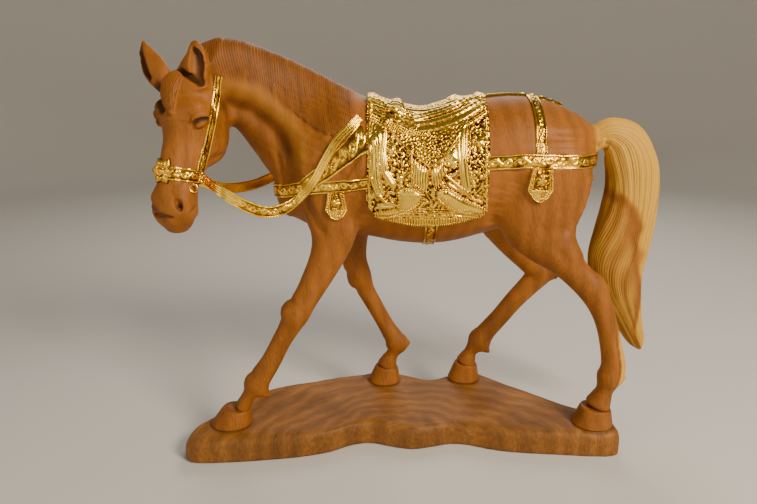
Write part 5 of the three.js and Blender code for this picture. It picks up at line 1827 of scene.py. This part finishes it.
def grain_group():
    """Growth rings, fibres and pores of a block of wood, whose grain runs along Z of the given vector."""
    if "Wood Grain" in bpy.data.node_groups:
        return bpy.data.node_groups["Wood Grain"]
    number = "NodeSocketFloat"
    inputs = [("Vector", "NodeSocketVector", None), ("Ring Scale", number, 1.0), ("Warp", number, 1.0)]
    outputs = [(name, number) for name in ("Rings", "Fibres", "Pores", "Cloud")]
    group, given, result = new_group("Wood Grain", inputs, outputs)
    link = group.links.new
    vector = given.outputs[0]
    cloud = put(group, "ShaderNodeTexNoise", [(vector, 0)], Scale=9.0, Detail=2.0)
    shift = put(group, "ShaderNodeVectorMath", [(cloud.outputs[1], 0)], operation="SCALE")
    link(given.outputs[2], shift.inputs["Scale"])
    moved = put(group, "ShaderNodeVectorMath", [(vector, 0), (shift.outputs[0], 1)], operation="ADD")
    squeezed = stretched(group, moved.outputs[0], 0.16)
    scaled = put(group, "ShaderNodeVectorMath", [(squeezed, 0)], operation="SCALE")
    link(given.outputs[1], scaled.inputs["Scale"])
    rings = put(group, "ShaderNodeTexWave", [(scaled.outputs[0], 0)], wave_type="RINGS", rings_direction="Z",
                Scale=20.0, Distortion=2.2, Detail=2.0, Detail_Scale=1.6)
    fibres = put(group, "ShaderNodeTexNoise", [(stretched(group, vector, 0.045), 0)],
                 Scale=620.0, Detail=3.0, Roughness=0.65)
    pores = put(group, "ShaderNodeTexVoronoi", [(stretched(group, vector, 0.09), 0)], Scale=900.0)
    dots = put(group, "ShaderNodeMapRange", [(pores.outputs[0], 0)])
    numbers(dots, From_Min=0.05, From_Max=0.24, To_Min=1.0, To_Max=0.0)
    cloudy = put(group, "ShaderNodeTexNoise", [(vector, 0)], Scale=13.0, Detail=3.0)
    sources = rings.outputs[1], fibres.outputs[0], dots.outputs[0], cloudy.outputs[0]
    for source, target in zip(sources, result.inputs):
        link(source, target)
    return group


def times(tree, first, second):
    return math_node(tree, "MULTIPLY", first, second)


def plus(tree, first, second):
    return math_node(tree, "ADD", first, second)


def less(tree, first, second):
    return math_node(tree, "SUBTRACT", first, second)


def bumped(tree, shader, height, strength, distance):
    bump = put(tree, "ShaderNodeBump", [(height, "Height")])
    numbers(bump, Strength=strength, Distance=distance)
    tree.links.new(bump.outputs[0], shader.inputs["Normal"])


def tone_channels(tree):
    attribute = put(tree, "ShaderNodeAttribute", attribute_name="tone")
    return put(tree, "ShaderNodeSeparateColor", [(attribute.outputs["Color"], 0)]).outputs


RING_SHARE = 0.20


def wood_material(name, stops, place, ring_scale, warp, dark, pale):
    """Wood whose tone attribute turns it to pale sapwood or a painted highlight in its first channel and to
    painted shade in its second.
    """
    if name in bpy.data.materials:
        return bpy.data.materials[name]
    material = bpy.data.materials.new(name)
    material.use_nodes = True
    tree = material.node_tree
    tree.nodes.clear()
    output = tree.nodes.new("ShaderNodeOutputMaterial")
    shader = put(tree, "ShaderNodeBsdfPrincipled")
    tree.links.new(shader.outputs[0], output.inputs[0])
    grain = group_node(tree, grain_group(), Ring_Scale=ring_scale, Warp=warp)
    tree.links.new(place(tree), grain.inputs[0])
    rings, fibres, pores, cloud = grain.outputs
    mixed = plus(tree, times(tree, rings, RING_SHARE), times(tree, cloud, 1.1 - RING_SHARE))
    tone = plus(tree, mixed, times(tree, less(tree, fibres, 0.5), 1.0))
    colour = ramp(tree, tone, stops)
    channels = tone_channels(tree)
    sap = mix_node(tree, fibres, pale, shade(pale, 0.62))
    colour = mix_node(tree, channels[0], colour, sap)
    colour = mix_node(tree, times(tree, pores, 0.30), colour, dark)
    # Painted shade from the tone's second channel.
    colour = mix_node(tree, channels[1], colour, dark)
    tree.links.new(colour, shader.inputs["Base Color"])
    tree.links.new(plus(tree, times(tree, fibres, 0.22), 0.4), shader.inputs["Roughness"])
    numbers(shader, Specular_IOR_Level=0.20)
    bumped(tree, shader, less(tree, times(tree, fibres, 0.5), times(tree, pores, 0.5)), 0.22, 0.0006)
    return material


def shade(colour, share):
    return tuple(min(1.0, c * share) for c in colour)


def in_block(tree):
    """Places in the block that the horse is carved from, a little turned against its grain."""
    node = put(tree, "ShaderNodeMapping", [(put(tree, "ShaderNodeTexCoord").outputs["Object"], 0)])
    numbers(node, Location=(0.11, 0.16, 0.0), Rotation=(0.16, 0.10, 0.3))
    return node.outputs[0]


def in_slab(tree):
    """Places along the growth arcs of the slab."""
    return put(tree, "ShaderNodeAttribute", attribute_name="grain").outputs["Vector"]


def shades(colour, *stops):
    """Stops of a ramp: places from 0 to 1 with the colour made darker or lighter there."""
    return [(place, shade(colour, share)) for place, share in stops]


def carved_wood(settings):
    light = tuple(settings.wood_colour)
    stops = shades(light, (0.15, 0.58), (0.42, 0.80), (0.60, 1), (0.90, 1.22))
    # The dark colour fills the pores and the painted shade; the pale one is the sapwood and the painted
    # highlight.
    dark, pale = (0.035, 0.011, 0.003), (0.90, 0.49, 0.055)
    return wood_material("Carved Wood", stops, in_block, 0.9, 0.035, dark, pale)


def slab_wood(settings):
    light = tuple(c * share for c, share in zip(settings.wood_colour, (0.70, 0.83, 1.2)))
    stops = shades(light, (0.18, 0.55), (0.44, 0.86), (0.62, 1.12), (0.90, 1.75))
    # The dark colour fills the pores and the painted shade round the hooves.
    dark, pale = (0.04, 0.014, 0.004), (0.62, 0.36, 0.10)
    return wood_material("Slab Wood", stops, in_slab, 0.9, 0.045, dark, pale)


def gilt_brass(settings):
    """Gilding with painted shade in the relief's hollows, which are also rougher, and a painted highlight on
    its heights.
    """
    name = "Gilt Brass"
    if name in bpy.data.materials:
        return bpy.data.materials[name]
    material = bpy.data.materials.new(name)
    material.use_nodes = True
    tree = material.node_tree
    shader = tree.nodes["Principled BSDF"]
    place = put(tree, "ShaderNodeTexCoord").outputs["Object"]
    # The tone's first channel holds the painted shade and highlight of the relief.
    height = tone_channels(tree)[0]
    patch = put(tree, "ShaderNodeTexNoise", [(place, 0)], Scale=55.0, Detail=4.0).outputs[0]
    fine = put(tree, "ShaderNodeTexNoise", [(place, 0)], Scale=900.0, Detail=3.0).outputs[0]
    level = plus(tree, height, times(tree, less(tree, patch, 0.5), 0.7))
    gold = tuple(settings.gilt_colour)
    # Ramp from painted shade in the hollows, through the gold, to a painted highlight.
    hollow, shadow, bright = (0.035, 0.010, 0.001), (0.34, 0.14, 0.008), (1.0, 0.68, 0.09)
    stops = [(0.03, hollow), (0.26, shadow), (0.50, gold), (0.92, bright)]
    tree.links.new(ramp(tree, level, stops), shader.inputs["Base Color"])
    numbers(shader, Metallic=1.0)
    rough = plus(tree, times(tree, patch, 0.22), times(tree, less(tree, 1.0, height), 0.20))
    tree.links.new(plus(tree, rough, 0.04), shader.inputs["Roughness"])
    bumped(tree, shader, fine, 0.25, 0.0003)
    return material


def plain_material(name, colour, rough):
    material = bpy.data.materials.new(name)
    material.use_nodes = True
    numbers(material.node_tree.nodes["Principled BSDF"], Base_Color=(*colour, 1), Roughness=rough)
    return material


# Stage.

# Lamps: name, place in metres, power, size, colour.
LAMPS = [
    ("key", (1.15, -1.15, 1.30), 46, 0.6, (1.0, 0.89, 0.72)),
    ("fill", (-1.3, -1.1, 0.8), 6, 1.2, (1.0, 0.94, 0.84)),
    ("back", (0.2, 1.3, 1.4), 13, 1.0, (1.0, 0.95, 0.88)),
    ("front", (-0.15, -1.6, 0.35), 3, 0.8, (1, 0.96, 0.90)),
]


def add_floor():
    """A pale round floor that rises in a soft bend at its rim."""
    bend = [(2.2 + math.sin(a), 1 - math.cos(a)) for a in np.linspace(0.1, 1.5, 15)]
    profile = [(0.02, 0.0), (2.2, 0.0), *bend, (3.22, 4.0)]
    around = 96
    turn = np.linspace(0, 2 * math.pi, around, endpoint=False)
    rings = [(r * math.cos(a), r * math.sin(a), z) for r, z in profile for a in turn]
    faces = grid_faces(len(profile), around, wrap=True).tolist() + [list(range(around))]
    floor = bpy.data.meshes.new("floor")
    floor.from_pydata(rings, [], faces)
    for face in floor.polygons:
        face.use_smooth = True
    piece = bpy.data.objects.new("floor", floor)
    bpy.context.scene.collection.objects.link(piece)
    piece.data.materials.append(plain_material("Pale Floor", (0.62, 0.60, 0.57), 0.75))


def build_stage():
    add_floor()
    for name, place, power, size, colour in LAMPS:
        light = bpy.data.lights.new(name, "AREA")
        light.energy = power
        light.size = size
        light.color = colour
        lamp = bpy.data.objects.new(name, light)
        lamp.location = place
        lamp.rotation_euler = (Vector((0, 0, 0.22)) - Vector(place)).to_track_quat("-Z", "Y").to_euler()
        bpy.context.scene.collection.objects.link(lamp)
    world = bpy.context.scene.world or bpy.data.worlds.new("World")
    bpy.context.scene.world = world
    world.use_nodes = True
    background = world.node_tree.nodes.get("Background") or world.node_tree.nodes.new("ShaderNodeBackground")
    numbers(background, Color=(0.72, 0.66, 0.57, 1), Strength=0.24)
    camera = bpy.data.cameras.new("camera")
    camera.sensor_width = 36
    camera.lens = VIEW_FOCAL / VIEW_WIDTH * camera.sensor_width
    eye = bpy.data.objects.new("camera", camera)
    eye.location = [0.001 * c for c in VIEW_EYE]
    eye.rotation_euler = (math.pi / 2 - VIEW_PITCH, 0, 0)
    bpy.context.scene.collection.objects.link(eye)
    bpy.context.scene.camera = eye


# The add-on.

class CarvedHorseSettings(bpy.types.PropertyGroup):
    """Sizes and colours of the carved horse."""
    strand_pitch: bpy.props.FloatProperty(
        name="Mane strand", description="Width of a strand of the mane, in millimetres",
        default=2.5, min=1.6, max=8.0)
    tail_strands: bpy.props.IntProperty(
        name="Tail strands", description="Number of strands around the tail", default=74, min=12, max=90)
    band_width: bpy.props.FloatProperty(
        name="Band width", description="Width of the breeching and the breast harness",
        default=0.0155, min=0.008, max=0.03, subtype="DISTANCE", unit="LENGTH")
    rein_width: bpy.props.FloatProperty(
        name="Rein width", description="Width of a rein",
        default=0.013, min=0.006, max=0.02, subtype="DISTANCE", unit="LENGTH")
    wood_colour: bpy.props.FloatVectorProperty(
        name="Wood", description="Light tone of the carved wood",
        default=(0.30, 0.100, 0.014), size=3, min=0, max=1, subtype="COLOR")
    gilt_colour: bpy.props.FloatVectorProperty(
        name="Gilt", description="Main tone of the gilding",
        default=(0.95, 0.51, 0.03), size=3, min=0, max=1, subtype="COLOR")


class CARVEDHORSE_OT_stage(bpy.types.Operator):
    """Make the floor, the lights and the camera"""
    bl_idname = "carvedhorse.stage"
    bl_label = "Stage"

    def execute(self, context):
        build_stage()
        return {"FINISHED"}


class CARVEDHORSE_OT_slab(bpy.types.Operator):
    """Make the wooden slab"""
    bl_idname = "carvedhorse.slab"
    bl_label = "Slab"

    def execute(self, context):
        build_base(context.scene.carved_horse)
        return {"FINISHED"}


class CARVEDHORSE_OT_horse(bpy.types.Operator):
    """Carve the horse with its hooves and tail"""
    bl_idname = "carvedhorse.horse"
    bl_label = "Horse"

    def execute(self, context):
        build_horse(context.scene.carved_horse)
        return {"FINISHED"}


class CARVEDHORSE_OT_saddle(bpy.types.Operator):
    """Lay the saddle, its cloth and girth"""
    bl_idname = "carvedhorse.saddle"
    bl_label = "Saddle"

    def execute(self, context):
        build_saddle(context.scene.carved_horse)
        return {"FINISHED"}


class CARVEDHORSE_OT_bridle(bpy.types.Operator):
    """Make the bridle and its rosettes"""
    bl_idname = "carvedhorse.bridle"
    bl_label = "Bridle"

    def execute(self, context):
        build_bridle(context.scene.carved_horse)
        return {"FINISHED"}


class CARVEDHORSE_OT_breast_harness(bpy.types.Operator):
    """Lay the breast harness"""
    bl_idname = "carvedhorse.breast_harness"
    bl_label = "Breast Harness"

    def execute(self, context):
        build_breast_harness(context.scene.carved_horse)
        return {"FINISHED"}


class CARVEDHORSE_OT_breeching(bpy.types.Operator):
    """Lay the breeching and the hip straps"""
    bl_idname = "carvedhorse.breeching"
    bl_label = "Breeching"

    def execute(self, context):
        build_breeching(context.scene.carved_horse)
        return {"FINISHED"}


class CARVEDHORSE_OT_reins(bpy.types.Operator):
    """Hang the two reins"""
    bl_idname = "carvedhorse.reins"
    bl_label = "Reins"

    def execute(self, context):
        build_reins(context.scene.carved_horse)
        return {"FINISHED"}


OPERATORS = [
    CARVEDHORSE_OT_stage, CARVEDHORSE_OT_slab, CARVEDHORSE_OT_horse, CARVEDHORSE_OT_saddle,
    CARVEDHORSE_OT_bridle, CARVEDHORSE_OT_breast_harness, CARVEDHORSE_OT_breeching, CARVEDHORSE_OT_reins,
]


class CARVEDHORSE_PT_panel(bpy.types.Panel):
    """Lists the settings and the pieces of the carved horse."""
    bl_idname = "CARVEDHORSE_PT_panel"
    bl_label = "Carved Horse"
    bl_space_type = "VIEW_3D"
    bl_region_type = "UI"
    bl_category = "Carved Horse"

    def draw(self, context):
        settings = context.scene.carved_horse
        for name in settings.__annotations__:
            self.layout.prop(settings, name)
        for kind in OPERATORS:
            self.layout.operator(kind.bl_idname)


def register():
    bpy.utils.register_class(CarvedHorseSettings)
    for kind in OPERATORS:
        bpy.utils.register_class(kind)
    bpy.utils.register_class(CARVEDHORSE_PT_panel)
    bpy.types.Scene.carved_horse = bpy.props.PointerProperty(type=CarvedHorseSettings)


def unregister():
    del bpy.types.Scene.carved_horse
    bpy.utils.unregister_class(CARVEDHORSE_PT_panel)
    for kind in reversed(OPERATORS):
        bpy.utils.unregister_class(kind)
    bpy.utils.unregister_class(CarvedHorseSettings)


def main():
    register()
    bpy.ops.carvedhorse.stage()
    bpy.ops.carvedhorse.slab()
    bpy.ops.carvedhorse.horse()
    bpy.ops.carvedhorse.saddle()
    bpy.ops.carvedhorse.bridle()
    bpy.ops.carvedhorse.breast_harness()
    bpy.ops.carvedhorse.breeching()
    bpy.ops.carvedhorse.reins()


if __name__ == "__main__":
    main()
